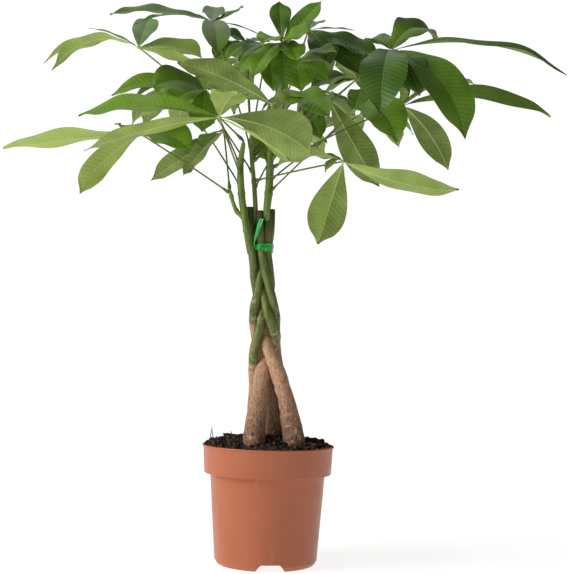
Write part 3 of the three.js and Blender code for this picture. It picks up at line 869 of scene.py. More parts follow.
# ---------------------------------------------------------------- the soil
@dataclass(frozen=True)
class Soil:
    """Peat in the pot, with loose crumbs and dry fibres on it."""

    foot_radius: float = 62.5
    floor: float = 11.2
    shoulder_radius: float = 72.2
    shoulder_height: float = 115.6
    ledge_radius: float = 80.1
    ledge_height: float = 120.4
    top_radius: float = 82
    edge_height: float = 147.5
    mound: float = 14.5
    mound_start: float = -45
    mound_full: float = 5
    lump: float = 2.2
    crumbs: int = 1300
    fibres: int = 70
    seed: int = 11
    blocked: tuple[tuple[float, float, float], ...] = ()

    SIDES = 96
    RINGS = 30  # rings of vertices on its top
    SPREAD = 0.985  # how near the pot's wall the crumbs lie, as a share of the top's radius
    FIBRE_GAP = 12  # mm next to the wall that stay clear of fibres
    STEM_ROOM = 13.5  # mm round each stem's middle that stay clear
    STEM_FOOT = 0.12  # the share of a stem's knots at which it leaves the peat

    # where each rootlet starts, how far it runs right and up, and how far it bows
    ROOTLETS = (
        (-79, 0, 4, 20, 1.2), (-70, 2, -4, 20, -1.2), (-68, -6, 14, 6, 1.2), (-58, 6, 5, 7, 1.5),
        (-50, -16, -8, 5, 1.4), (-47, 2, -3, 11, 1.2), (-36, -22, -3, 12, 1.6),
    )

    def height(self, x: float, y: float) -> float:
        """The height of the peat at a place in plan.

        Args:
            x: in mm.
            y: in mm.

        Returns:
            The height in mm.
        """
        out = min(math.hypot(x, y) / self.top_radius, 1.0)
        rise = math.sqrt(1 - out * out) * smooth(self.mound_start, self.mound_full, y)
        rolling = noise.noise(Vector((x / 15, y / 15, 3.1)))
        crumbly = noise.fractal(Vector((x / 5, y / 5, 9.7)), 1.0, 2.0, 3)
        lumps = self.lump * (rolling + 0.6 * crumbly)
        return self.edge_height + self.mound * rise + lumps

    def bed(self) -> bmesh.types.BMesh:
        """Spins the filled section and lets its top roll.

        Returns:
            The closed body of peat.
        """
        section = [
            (0, self.floor),
            (self.foot_radius, self.floor),
            (self.shoulder_radius, self.shoulder_height),
            (self.ledge_radius, self.ledge_height),
            (self.top_radius, self.edge_height),
        ]
        section += [
            (self.top_radius * (1 - i / self.RINGS), self.edge_height + 1)
            for i in range(1, self.RINGS + 1)
        ]
        bm = spin_section(section, self.SIDES)
        bmesh.ops.recalc_face_normals(bm, faces=bm.faces[:])
        for vert in bm.verts:
            if vert.co.z > (self.edge_height + 0.5) * MM:
                vert.co.z = self.height(vert.co.x / MM, vert.co.y / MM) * MM
        return bm

    def spots(self, rng: random.Random, count: int) -> Iterable[tuple[float, float]]:
        """Random places on the peat that no stem stands on.

        Args:
            rng: where the draws come from.
            count: how many places to draw.

        Yields:
            x and y in mm.
        """
        while count:
            out = self.top_radius * math.sqrt(rng.random()) * self.SPREAD
            angle = rng.uniform(0, 2 * math.pi)
            x, y = out * math.cos(angle), out * math.sin(angle)
            if any(math.hypot(x - sx, y - sy) < r for sx, sy, r in self.blocked):
                continue
            count -= 1
            yield x, y

    def crumb_layer(self) -> bmesh.types.BMesh:
        """Scatters dented crumbs over the peat.

        Returns:
            All the crumbs.
        """
        rng = random.Random(self.seed)
        noise.seed_set(self.seed)  # noise_vector takes its offsets from the clock without it
        bm = bmesh.new()
        for x, y in self.spots(rng, self.crumbs):
            size = 1.1 + 3.1 * rng.random() ** 2.4
            turn = Matrix.Rotation(rng.uniform(0, 2 * math.pi), 4, "Z")
            tilt = Matrix.Rotation(rng.uniform(-0.7, 0.7), 4, "X")
            squash = Matrix.Diagonal(
                (rng.uniform(0.8, 1.7), rng.uniform(0.7, 1.1), rng.uniform(0.5, 0.95), 1)
            )
            spot = Vector((x, y, self.height(x, y) + 0.35 * size)) * MM
            made = bmesh.ops.create_icosphere(
                bm,
                subdivisions=1,
                radius=size * MM,
                matrix=Matrix.Translation(spot) @ turn @ tilt @ squash,
            )
            for vert in made["verts"]:
                vert.co += noise.noise_vector(vert.co / MM * 0.9) * size * 0.4 * MM
        return bm

    def fibre_layer(self) -> bmesh.types.BMesh:
        """Lays thin bent fibres on the peat.

        Returns:
            All the fibres.
        """
        rng = random.Random(self.seed + 1)
        bm = bmesh.new()
        for x, y in self.spots(rng, self.fibres):
            if math.hypot(x, y) > self.top_radius - self.FIBRE_GAP:
                continue
            length = rng.uniform(3, 9)
            heading = rng.uniform(0, 2 * math.pi)
            climb = rng.uniform(-0.05, 0.28)
            bow = rng.uniform(-0.35, 0.35) * length
            thick = rng.uniform(0.22, 0.4)
            start = Vector((x, y, self.height(x, y) + 0.8))
            ahead = Vector(
                (
                    math.cos(heading) * math.cos(climb),
                    math.sin(heading) * math.cos(climb),
                    math.sin(climb),
                )
            )
            self.add_fibre(bm, start, ahead * length, ahead.cross(UP).normalized() * bow, thick)
        return bm

    def add_fibre(
        self,
        bm: bmesh.types.BMesh,
        start: Vector,
        reach: Vector,
        bow: Vector,
        thick: float,
    ) -> None:
        """Adds one fibre.

        Args:
            bm: the fibres' mesh.
            start: where it starts, in mm.
            reach: from its start to its end.
            bow: how far its middle stands out of line.
            thick: its radius at the start, in mm.
        """
        ahead = reach.normalized()
        side = bow.normalized()
        other = ahead.cross(side)

        def place(_vert: bmesh.types.BMVert, along: float, angle: float) -> Vector:
            """Puts a vertex on the fibre's skin."""
            middle = start + reach * along + bow * math.sin(math.pi * along)
            out = side * math.cos(angle) + other * math.sin(angle)
            return (middle + out * thick * (1 - 0.6 * along)) * MM

        add_tube(bm, 6, 4, place)

    def rootlet_layer(self) -> bmesh.types.BMesh:
        """Stands the few dark dead rootlets up that rise from the peat at the left.

        Returns:
            All the rootlets.
        """
        bm = bmesh.new()
        for x, y, dx, dz, bow in self.ROOTLETS:
            start = Vector((x, y, self.height(x, y) - 1.5))
            self.add_fibre(
                bm, start, Vector((dx, 0.3 * dx, dz)), Vector((bow, 0.1 * bow, 0.3 * abs(bow))), 0.9
            )
        return bm

    def build(self) -> None:
        """Builds the bed, the crumbs, the fibres and the rootlets and dresses them."""
        for name, bm, dress, stands_for in (
            ("peat_bed", self.bed(), Dress.PEAT, "soil"),
            ("peat_crumbs", self.crumb_layer(), Dress.PEAT, None),
            ("dry_fibres", self.fibre_layer(), Dress.STRAW, None),
            ("dead_rootlets", self.rootlet_layer(), Dress.PEAT, None),
        ):
            make_piece(name, bm, [dress.material()], stands_for)


# ---------------------------------------------------------------- the stems
@dataclass(frozen=True)
class Scar:
    """A patch of raw cork where a branch or a leaf once grew, or where the bark was rubbed."""

    height: float
    facing: float
    tall: float
    wide: float
    swelling: float = 0.0


@dataclass(frozen=True)
class Stem:
    """One woody stem: a tapering tube with leaf-scar rings, knobs and a sawn top."""

    trunk: Trunk
    green_from: float
    rings: tuple[float, ...] = ()
    scars: tuple[Scar, ...] = ()
    sides: int = 32
    ring_spacing: float = 2.2

    THICKER = 0.18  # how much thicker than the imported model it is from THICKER_FROM up
    THICKER_BELOW, THICKER_FROM = 225, 245  # mm up, where that starts and where it is full
    USUAL_RADIUS = 10  # mm, which turns a scar's width into an angle
    LUMP_SIZE = 16
    LUMP_SHARE = 0.055

    def skin_of(self, height: float, angle: float) -> tuple[float, float, float]:
        """How a point of the skin looks and how far it stands out.

        Args:
            height: in mm.
            angle: around the stem, where -90 degrees faces the front.

        Returns:
            How green it is, how scarred it is, and how far it swells in mm.
        """
        green = smooth(self.green_from - 8, self.green_from + 52, height)
        scarred, swell = 0.0, 0.0
        for ring in self.rings:
            tilted = height - ring + 0.8 * math.sin(angle + ring)
            band = math.exp(-((tilted / 0.9) ** 2))
            scarred = min(scarred, -band)
            green *= 1 - 0.7 * math.exp(-(((tilted - 3) / 3.5) ** 2))
            swell += 0.35 * band + 0.35 * math.exp(-(((tilted + 4) / 4.5) ** 2))
        for scar in self.scars:
            off = math.remainder(angle - math.radians(scar.facing), 2 * math.pi)
            side = off * self.USUAL_RADIUS / scar.wide
            rise = (height - scar.height) / scar.tall
            patch = math.exp(-2 * (side * side + rise * rise))
            scarred = max(scarred, patch) if patch > 0.1 else scarred
            swell += scar.swelling * patch
        return green, scarred, swell

    def build(self) -> None:
        """Builds the stem and dresses it, with its sawn top in its own finish."""
        bm = bmesh.new()
        skin = bm.verts.layers.float_vector.new("skin")
        trunk = self.trunk
        foot, top = trunk.knots[0][2], trunk.knots[-1][2]

        def place(vert: bmesh.types.BMVert, along: float, angle: float) -> Vector:
            """Puts a vertex on the stem's skin and notes how it looks there."""
            middle = trunk.point(along)
            green, scarred, swell = self.skin_of(middle.z, angle)
            vert[skin] = (green, scarred, smooth(top - 40, top - 12, middle.z))
            out = trunk.around(along, angle)
            thicker = self.THICKER * smooth(self.THICKER_BELOW, self.THICKER_FROM, middle.z)
            radius = trunk.radius(along) * (1 + thicker)
            spot = middle + out * radius
            lumps = self.LUMP_SHARE * radius * noise.fractal(spot / self.LUMP_SIZE, 1.0, 2.0, 3)
            grain = 0.35 * (1 - green) * noise.noise(
                Vector((spot.x / 2.6, spot.y / 2.6, spot.z / 11))
            )
            edge = 0.5 * smooth(top - 1.2, top, middle.z)
            return (middle + out * (radius + swell + lumps + grain - edge)) * MM

        spans = round((top - foot) / self.ring_spacing)
        for face in add_tube(bm, spans, self.sides, place):
            if len(face.verts) == self.sides and face.normal.z > 0.5:
                face.material_index = 1
        make_piece(
            trunk.name + "_bark",
            bm,
            [Dress.BARK.material(), Dress.CUT_WOOD.material()],
            trunk.name,
        )


@dataclass(frozen=True)
class Shoot:
    """One green shoot: a smooth tube with swollen joints, closed by a small bud."""

    trunk: Trunk
    rings: tuple[float, ...] = ()

    SIDES = 20
    LUMP_SIZE = 9
    LUMP_SHARE = 0.06
    JOINT_SWELL = 0.7
    JOINT_LENGTH = 2.4

    def build(self) -> None:
        """Builds the shoot and dresses it."""
        bm = bmesh.new()
        skin = bm.verts.layers.float_vector.new("skin")
        trunk = self.trunk
        top = trunk.knots[-1][2]

        def place(vert: bmesh.types.BMVert, along: float, angle: float) -> Vector:
            """Puts a vertex on the shoot's skin."""
            middle = trunk.point(along)
            out = trunk.around(along, angle)
            radius = trunk.radius(along)
            swell = sum(
                self.JOINT_SWELL * math.exp(-(((middle.z - ring) / self.JOINT_LENGTH) ** 2))
                for ring in self.rings
            )
            spot = middle + out * radius
            lumps = self.LUMP_SHARE * radius * noise.fractal(spot / self.LUMP_SIZE, 1.0, 2.0, 2)
            taper = 1 - 0.75 * smooth(top - 5, top, middle.z)
            vert[skin] = (1.0, smooth(top - 45, top, middle.z) * 0.7, 0.0)
            return (middle + out * ((radius + lumps) * taper + swell)) * MM

        length = top - trunk.knots[0][2]
        add_tube(bm, round(length / 2), self.SIDES, place)
        make_piece(
            trunk.name + "_skin", bm, [Dress.SHOOT.material()], trunk.name
        )


# ---------------------------------------------------------------- the leaves
@dataclass(frozen=True)
class Blade:
    """One leaflet, from the hub to its tip, in mm and degrees.

    The midrib rises by its arch, and the upper face leans towards the front and turns right.
    A belly above 1 moves the widest place towards the tip, and the tint brightens the blade, or
    darkens it below 0, partly as the leaflet's own tone and partly as painted shade where it lies
    in shade.
    """

    x: float
    y: float
    z: float
    width: float
    arch: float
    lean: float
    turn: float = 0.0
    belly: float = 1.2
    tint: float = 0.0

    FOLD = math.radians(14)
    FULLNESS = 0.9  # a power below 1 makes the outline rounder
    THICKNESS = 0.45
    QUILTING = 0.1  # mm that the blade swells between its side veins
    STATIONS = 46
    COLUMNS = 12
    DRY_SHARE = 0.45  # how many of the tips have dried out

    def half_width(self, along: float) -> float:
        """Half the blade's width at a share of its length, with a narrow drawn-out tip.

        Args:
            along: 0 at the hub and 1 at the tip.

        Returns:
            Half the width in mm.
        """
        belly = max(math.sin(math.pi * along**self.belly), 0.0) ** self.FULLNESS
        drawn = 1 - 0.35 * smooth(0.82, 0.96, along)
        stalk = smooth(0.0, 0.07, along)
        sharp = 0.6 - 0.45 * smooth(0.8, 1.0, along)
        return max(0.5 * self.width * belly * drawn * stalk, sharp)

    def build(
        self,
        bm: bmesh.types.BMesh,
        layers: tuple[bmesh.types.BMLayerItem, bmesh.types.BMLayerItem],
        hub: Vector,
        tones: tuple[float, float],
        rng: random.Random,
    ) -> None:
        """Adds the blade: a grid that is bent into place and given its thickness.

        Args:
            bm: the leaf's mesh.
            layers: where each vertex keeps its across, along and tone, and how near and how
                dry the tip is.
            hub: where the leaflets meet, in mm.
            tones: how young and bright the upper and the under face are, from 0 to 1; a low tone is
                partly painted shade.
            rng: where the small differences between leaflets come from.
        """
        tip = Vector((self.x, self.y, self.z))
        chord = tip - hub
        ahead = chord.normalized()
        lean, turn = math.radians(self.lean), math.radians(self.turn)
        face = Vector((math.sin(turn), -math.sin(lean), math.cos(lean)))
        rise = square_to(UP + 0.4 * square_to(face, ahead), ahead)
        ends = (
            hub,
            hub + 0.35 * chord + 1.1 * self.arch * rise,
            hub + 0.75 * chord + self.arch * rise,
            tip,
        )
        waves, wave_height = rng.uniform(1.8, 3.0), rng.uniform(0.03, 0.07) * self.width
        phases = rng.uniform(0, 6.3), rng.uniform(0, 6.3)
        # the tint and a small random spread; a negative tint is partly painted shade
        shade = self.tint + rng.uniform(-0.1, 0.1)
        dry = 1.0 if rng.random() < self.DRY_SHARE else 0.0
        length = chord.length
        made = bmesh.ops.create_grid(
            bm, x_segments=self.COLUMNS, y_segments=self.STATIONS, size=1.0
        )
        for vert in made["verts"]:
            share = math.copysign(abs(vert.co.x) ** 1.4, vert.co.x)
            along = (vert.co.y + 1) / 2
            left = 1 - along
            middle = (
                ends[0] * left**3
                + ends[1] * 3 * left * left * along
                + ends[2] * 3 * left * along * along
                + ends[3] * along**3
            )
            slope = (
                (ends[1] - ends[0]) * left * left
                + (ends[2] - ends[1]) * 2 * left * along
                + (ends[3] - ends[2]) * along * along
            ).normalized()
            normal = square_to(face, slope)
            across = slope.cross(normal)
            half = self.half_width(along)
            side = share * half
            reach = abs(side)
            fold = reach * math.tan(self.FOLD) * (1.25 - 0.5 * abs(share))
            phase = phases[0] if side > 0 else phases[1]
            wave = wave_height * math.sin(2 * math.pi * waves * along + phase)
            wave *= share * share * smooth(0.05, 0.3, along)
            run = along * length - LeafSkin.VEIN_SLANT * reach
            quilt = self.QUILTING * math.cos(2 * math.pi * run / LeafSkin.VEIN_SPACING)
            quilt *= smooth(0.02, 0.25, abs(share)) * smooth(1.0, 0.7, abs(share))
            lift = fold + wave + quilt * min(half / 12, 1)
            vert[layers[0]] = (side * MM, along * length * MM, tones[0] + shade)
            vert[layers[1]] = (along, dry * smooth(0.965, 0.985, along), 0.0)
            vert.co = (middle + across * side + normal * lift) * MM
        top = list({f for v in made["verts"] for f in v.link_faces})
        bm.normal_update()
        upper = {v for face in top for v in face.verts}
        back = bmesh.ops.solidify(bm, geom=top, thickness=self.THICKNESS * MM)
        for part in back["geom"]:
            if isinstance(part, bmesh.types.BMFace) and part not in set(top):
                part.material_index = 1
            if isinstance(part, bmesh.types.BMVert) and part not in upper:
                part[layers[0]].z = tones[1] + shade


@dataclass(frozen=True)
class Fan:
    """The leaflets of a regular leaf, spread about the way that it points in plan."""

    out: float
    reach: float
    width: float
    droop: float
    count: int

    SPREAD = 50
    TAPER = 0.16
    ARCH = 0.2

    def blades(self, hub: Vector) -> list[Blade]:
        """Works the leaflets out.

        Args:
            hub: where they meet, in mm.

        Returns:
            The leaflets.
        """
        made = []
        for i in range(self.count):
            side = i - (self.count - 1) / 2
            angle = math.radians(self.out + self.SPREAD * side)
            share = 1 - self.TAPER * abs(side)
            level = self.reach * share * math.cos(math.radians(self.droop))
            drop = self.reach * share * math.sin(math.radians(self.droop))
            made.append(
                Blade(
                    hub.x + level * math.cos(angle),
                    hub.y + level * math.sin(angle),
                    hub.z - drop,
                    self.width * share,
                    self.ARCH * self.reach * share,
                    0,
                )
            )
        return made


@dataclass(frozen=True)
class CompoundLeaf:
    """A whole leaf: its stalk from the shoot, its hub and its leaflets."""

    name: str
    shoot: str
    height: float
    bow: float
    hub: tuple[float, float, float]
    upper_tone: float
    under_tone: float
    blades: tuple[Blade, ...] = ()
    fan: Fan | None = None

    STALK_RADIUS = 1.1
    STALK_SIDES = 10
    FOOT_SWELL = 1.6
    HUB_SWELL = 0.9
    HUB_RADIUS = 2.4

    def add_stalk(
        self,
        bm: bmesh.types.BMesh,
        skin: bmesh.types.BMLayerItem,
        root: Vector,
        hub: Vector,
    ) -> None:
        """Adds the stalk, which swells where it leaves the shoot and under the hub.

        Args:
            bm: the leaf's mesh.
            skin: where each vertex keeps how fresh it is.
            root: where it starts, on the shoot's middle line, in mm.
            hub: where it ends, in mm.
        """
        middle = (root + hub) / 2 + UP * self.bow
        length = (hub - root).length

        def place(vert: bmesh.types.BMVert, along: float, angle: float) -> Vector:
            """Puts a vertex on the stalk's skin."""
            left = 1 - along
            spot = root * left * left + middle * 2 * left * along + hub * along * along
            tangent = ((middle - root) * left + (hub - middle) * along).normalized()
            side = square_to(Vector((0.3, 1.0, 0.1)), tangent)
            out = side * math.cos(angle) + tangent.cross(side) * math.sin(angle)
            run = along * length
            swell = self.FOOT_SWELL * math.exp(-(((run - 6) / 4.5) ** 2))
            swell += self.HUB_SWELL * math.exp(-(((length - run) / 5) ** 2))
            vert[skin] = (1.0, smooth(length - 16, length, run), 0.0)
            return (spot + out * (self.STALK_RADIUS + swell)) * MM

        for face in add_tube(bm, max(round(length / 5), 6), self.STALK_SIDES, place):
            face.material_index = 2

    def build(self, shoots: dict[str, Trunk]) -> None:
        """Builds the leaf and dresses it.

        Args:
            shoots: the shoots' middle lines by name.
        """
        bm = bmesh.new()
        layers = bm.verts.layers.float_vector
        blade_layer, tip_layer, skin = layers.new("blade"), layers.new("tip"), layers.new("skin")
        hub = Vector(self.hub)
        rng = random.Random(self.name)
        for blade in self.blades or self.fan.blades(hub):
            tones = self.upper_tone, self.under_tone
            blade.build(bm, (blade_layer, tip_layer), hub, tones, rng)
        self.add_stalk(bm, skin, shoots[self.shoot].at_height(self.height), hub)
        made = bmesh.ops.create_icosphere(
            bm,
            subdivisions=2,
            radius=self.HUB_RADIUS * MM,
            matrix=Matrix.Translation(hub * MM),
        )
        for vert in made["verts"]:
            vert[skin] = (1.0, 1.0, 0.0)
            for face in vert.link_faces:
                face.material_index = 2
        finishes = (Dress.LEAF_TOP, Dress.LEAF_UNDER, Dress.STALK)
        make_piece(
            self.name + "_blades", bm, [f.material() for f in finishes], self.name, 80
        )


# ---------------------------------------------------------------- the tie
@dataclass(frozen=True)
class Tie:
    """Flat plastic twine wound round three stems, with one loose end standing up."""

    loop: tuple[tuple[float, float], ...]
    loose_end: tuple[tuple[float, float, float], ...]
    turns: int = 4
    pitch: float = 2.6
    start_height: float = 403.5
    width: float = 3.7
    thickness: float = 0.4

    CENTRE = Vector((-10, 1, 0))  # the middle of the bundle, which the film faces away from
    CREASE = 0.35

    def route(self) -> Trunk:
        """The wound middle line.

        Returns:
            The line, with its knots' radius standing for the turn that each is on.
        """
        knots = []
        count = len(self.loop)
        for i in range(self.turns * count + 1):
            x, y = self.loop[i % count]
            turn = i / count
            tilt = 1.1 * math.sin(2 * math.pi * turn * 0.7 + 1)
            spread = 0.35 + 0.65 * smooth(-24, -8, x)
            climb = self.pitch * (turn - self.turns / 2) * spread + tilt
            knots.append((x, y, self.start_height + self.pitch * self.turns / 2 + climb, turn))
        return Trunk("tie_turns", tuple(knots))

    def add_ribbon(
        self, bm: bmesh.types.BMesh, line: Trunk, stations: int, flat: Callable[[float], float]
    ) -> None:
        """Adds a flat strip along a line.

        Args:
            bm: the tie's mesh.
            line: its middle line in mm.
            stations: how many spans it has.
            flat: gives its width in mm at each share along.
        """
        made = bmesh.ops.create_grid(bm, x_segments=6, y_segments=stations, size=1.0)
        for vert in made["verts"]:
            along = (vert.co.y + 1) / 2
            spot = line.point(along)
            tangent = line.tangent(along)
            out = spot - self.CENTRE
            out.z = 0
            out = square_to(out.normalized(), tangent)
            up = tangent.cross(out)
            crease = self.CREASE * math.cos(vert.co.x * 5 + 9 * along)
            side = vert.co.x * flat(along) / 2
            spread = 0.25 * line.radius(along)
            vert.co = (spot + up * side + out * (crease + spread)) * MM
        faces = list({f for v in made["verts"] for f in v.link_faces})
        bm.normal_update()
        bmesh.ops.solidify(bm, geom=faces, thickness=self.thickness * MM)

    def build(self) -> None:
        """Builds the turns and the loose end and dresses them."""
        bm = bmesh.new()
        self.add_ribbon(
            bm, self.route(), 150, lambda along: self.width * (0.85 + 0.2 * math.sin(31 * along))
        )
        knots = tuple((*spot, 0.0) for spot in self.loose_end)
        self.add_ribbon(
            bm, Trunk("tie_end", knots), 24, lambda along: 1.4 + 4.2 * smooth(0.15, 0.9, along)
        )
        bmesh.ops.recalc_face_normals(bm, faces=bm.faces[:])
        make_piece("plastic_tie", bm, [Dress.TIE.material()], "tie", 40)


# ---------------------------------------------------------------- the studio
@dataclass(frozen=True)
class Studio:
    """A glowing white sheet, soft lights and a camera that stands where the photograph's did."""

    eye: tuple[float, float, float] = (16, -1450, 281)
    aim: tuple[float, float, float] = (16, 0, 358)
    lens: float = 69.36
    roll: float = 1.43
    sky_light: float = 0.08
    sky_seen: float = 1.05

    FLOOR_REACH = 12.0  # metres
    LIT_POINT = Vector((0, 0, 0.42))  # in metres, where every light is turned to
    LIGHTS = (
        ("key", (-2.2, -0.9, 1.4), 1.6, 62),
        ("front", (-1.3, -2.5, 0.9), 1.5, 4),
        ("back", (1.6, 1.4, 1.6), 1.2, 1.5),
        ("top", (-0.3, 0.9, 2.3), 1.8, 8),
    )

    def camera(self) -> None:
        """Puts the camera in place."""
        data = bpy.data.cameras.new("camera")
        data.lens = self.lens
        camera = add_object("camera", data)
        ahead = (Vector(self.aim) - Vector(self.eye)).normalized()
        right = ahead.cross(UP).normalized()
        top = right.cross(ahead)
        roll = math.radians(self.roll)
        right, top = (
            right * math.cos(roll) + top * math.sin(roll),
            top * math.cos(roll) - right * math.sin(roll),
        )
        turn = Matrix((right, top, -ahead)).transposed().to_4x4()
        camera.matrix_world = Matrix.Translation(Vector(self.eye) * MM) @ turn
        bpy.context.scene.camera = camera

    def light(
        self, name: str, place: tuple[float, float, float], size: float, power: float
    ) -> None:
        """Hangs one soft square light that faces the plant.

        Args:
            name: the light's name.
            place: where it hangs, in metres.
            size: its side, in metres.
            power: in watts.
        """
        data = bpy.data.lights.new(name, "AREA")
        data.size, data.energy = size, power
        lamp = add_object(name, data)
        lamp.location = place
        aim = self.LIT_POINT - Vector(place)
        lamp.rotation_euler = aim.to_track_quat("-Z", "Y").to_euler()

    def build(self) -> None:
        """Builds the floor, the sky and the lights."""
        bm = bmesh.new()
        bmesh.ops.create_grid(bm, x_segments=1, y_segments=1, size=self.FLOOR_REACH)
        floor = add_mesh("floor", bm)
        floor.data.materials.append(Dress.GLOWING_FLOOR.material())
        world = bpy.data.worlds.new("studio")
        bpy.context.scene.world = world
        world.use_nodes = True
        rays = add_node(world.node_tree, "LightPath", {}, "Is Camera Ray")
        glow = add_node(
            world.node_tree,
            "MapRange",
            {0: rays, "To Min": self.sky_light, "To Max": self.sky_seen},
        )
        sky = world.node_tree.nodes["Background"]
        fill_inputs(world.node_tree, sky, {"Color": "#FFFFFF", "Strength": glow})
        bpy.context.scene.view_settings.view_transform = "Standard"
        for light in self.LIGHTS:
            self.light(*light)
        self.camera()


# ---------------------------------------------------------------- the plant's own sizes
STEMS = (
    Stem(
        Trunk(
            "stem_front_left",
            (
                (-16, -13, 105, 9), (-18, -14, 130, 12.8), (-18.5, -14, 152, 15),
                (-17, -13, 184, 13), (-13.5, -9, 216, 11), (-9, -1, 249, 8.6), (-4, 6.6, 264, 6.6),
                (2, 6.8, 278, 5.6), (6, -1, 290, 5.7), (3, -8, 303, 5.6), (-3.2, -11.2, 319, 5.1),
                (-10, -4, 344, 4.7), (-14.2, 8.3, 363, 4.5), (-21.5, 10.5, 383, 4.4),
                (-24, 7, 406, 4.3), (-25, 7, 433, 4.2), (-27, 6, 461, 4.2),
            ),
        ),
        272,
        rings=(295, 346, 405),
        scars=(
            Scar(209, -120, 2, 12, 0.4), Scar(162, -110, 5, 8), Scar(200, -60, 5, 3),
            Scar(158, -70, 3, 6), Scar(186, -140, 2, 3), Scar(222, -100, 2, 5),
        ),
    ),
    Stem(
        Trunk(
            "stem_front_right",
            (
                (34, -9, 105, 9), (36, -10, 130, 12.5), (34, -10, 155, 14.8), (28, -12, 184, 12.8),
                (22, -12, 211, 10.8), (9, -10, 249, 8.6), (0, -7, 269, 7), (-5, -4, 281, 6),
                (-7, 3, 294, 5.6), (-11, 9, 317, 5.2), (-17, 10, 336, 4.8), (-21.5, 5.5, 353, 4.6),
                (-24.5, -1, 373, 4.5), (-26.2, -5, 392, 4.5), (-29.5, -5, 412, 4.4),
                (-32, -3, 438, 4.4), (-32, -2, 462, 4.2),
            ),
        ),
        300,
        rings=(290, 372),
        scars=(
            Scar(219, -105, 4, 5, 1.4), Scar(180, -110, 3, 7), Scar(172, -70, 8, 5),
            Scar(164, -55, 9, 5), Scar(228, -60, 2, 4), Scar(193, -95, 2, 6), Scar(200, -125, 2, 3),
            Scar(186, -60, 6, 3), Scar(160, -100, 3, 5), Scar(207, -75, 2, 4),
        ),
    ),
    Stem(
        Trunk(
            "stem_back_left",
            (
                (-15, 18, 110, 7), (-17, 17, 140, 9.4), (-19, 16, 170, 9), (-21, 14, 196, 8),
                (-20.8, 13, 229, 6.6), (-22, 5, 252, 5.7), (-22, -4, 271, 5.1), (-19, -8, 288, 4.9),
                (-14, -6, 306, 4.8), (-12, -1, 324, 4.8), (-5, 7, 343, 4.5), (-2, 4, 359, 4.5),
                (-4, 1, 380, 4.5), (-7, -1, 401, 4.4), (-9, -2, 419, 4.4), (-8, -2, 456, 4.3),
            ),
        ),
        246,
        rings=(251, 312),
        scars=(Scar(222, -100, 5, 5, 0.6),),
    ),
    Stem(
        Trunk(
            "stem_middle",
            (
                (7, 18, 105, 8), (7, 18, 135, 12), (6, 18, 160, 12.8), (4.3, 17, 187, 11.2),
                (1, 15, 210, 9.4), (-5, 17, 235, 7.4), (-12, 17, 258, 6.1), (-16, 11, 275, 5.2),
                (-21, 5, 294, 5), (-23.4, 1, 311, 5), (-23.2, -3, 328, 4.9), (-20, -5.5, 344, 4.7),
                (-15.6, -3.3, 371, 4.5), (-12, 8, 393, 4.5), (-7, 11, 411, 4.4), (-4, 8, 433, 4.4),
                (-4, 8, 461, 4.4),
            ),
        ),
        300,
        rings=(336,),
        scars=(Scar(168, -90, 3, 4), Scar(186, -70, 3, 3)),
    ),
    Stem(
        Trunk(
            "stem_back_right",
            (
                (34, 21, 110, 7), (34, 21, 140, 10), (31, 20, 165, 9.8), (25, 16, 197, 8.4),
                (16, 14, 229, 7), (9.5, 15.5, 260, 5.4), (7, 17, 281, 5), (6, 6, 301, 4.8),
                (5.4, -4, 322, 4.6), (1, -10, 341, 4.6), (-7, -9, 367, 4.7), (-14, -8, 396, 4.3),
                (-17, -8, 418, 4.2), (-19, -7, 457, 4.2),
            ),
        ),
        276,
        rings=(321,),
    ),
)

SHOOTS = (
    Shoot(
        Trunk(
            "shoot_left",
            (
                (-31, -6, 400, 3), (-33, -13, 421, 5.2), (-37, -14, 442, 4.9), (-42, -15, 469, 4.6),
                (-45, -16, 498, 4.5), (-45, -17, 522, 3.8), (-43, -18, 537, 3.2),
                (-42, -18, 548, 2.2),
            ),
        ),
        (430, 478, 520),
    ),
    Shoot(
        Trunk(
            "shoot_middle",
            (
                (-26, 6, 440, 3), (-25, -2, 452, 3.3), (-25, -5, 465, 3.2), (-28, -5, 498, 2.9),
                (-32, -6, 534, 2.8), (-33, -6, 560, 2),
            ),
        ),
        (496, 540),
    ),
    Shoot(
        Trunk(
            "shoot_right",
            (
                (-9, -2, 442, 3), (-10, -9, 455, 4.6), (-8, -10, 479, 5.2), (-7, -9, 504, 5),
                (-7, -9, 532, 4), (-7, -9, 556, 2.6),
            ),
        ),
        (480, 512),
    ),
    Shoot(
        Trunk(
            "side_branch",
            (
                (-35, -13, 437, 2.2), (-42, -12, 448, 3.2), (-49, -11, 455, 2.8),
                (-54, -10, 466, 2.6), (-57, -10, 476, 2.6), (-60, -10, 486, 2.2),
            ),
        ),
        (456, 474),
    ),
)

TIE = Tie(
    loop=(
        (-24, -7), (-18, -14.5), (-9, -12), (-2, -4.5), (-0.5, 7), (-4, 16.5), (-13, 16), (-20, 1),
    ),
    loose_end=((-25, -12, 409), (-24.5, -16, 415), (-21.5, -18, 428), (-16, -18, 445)),
)
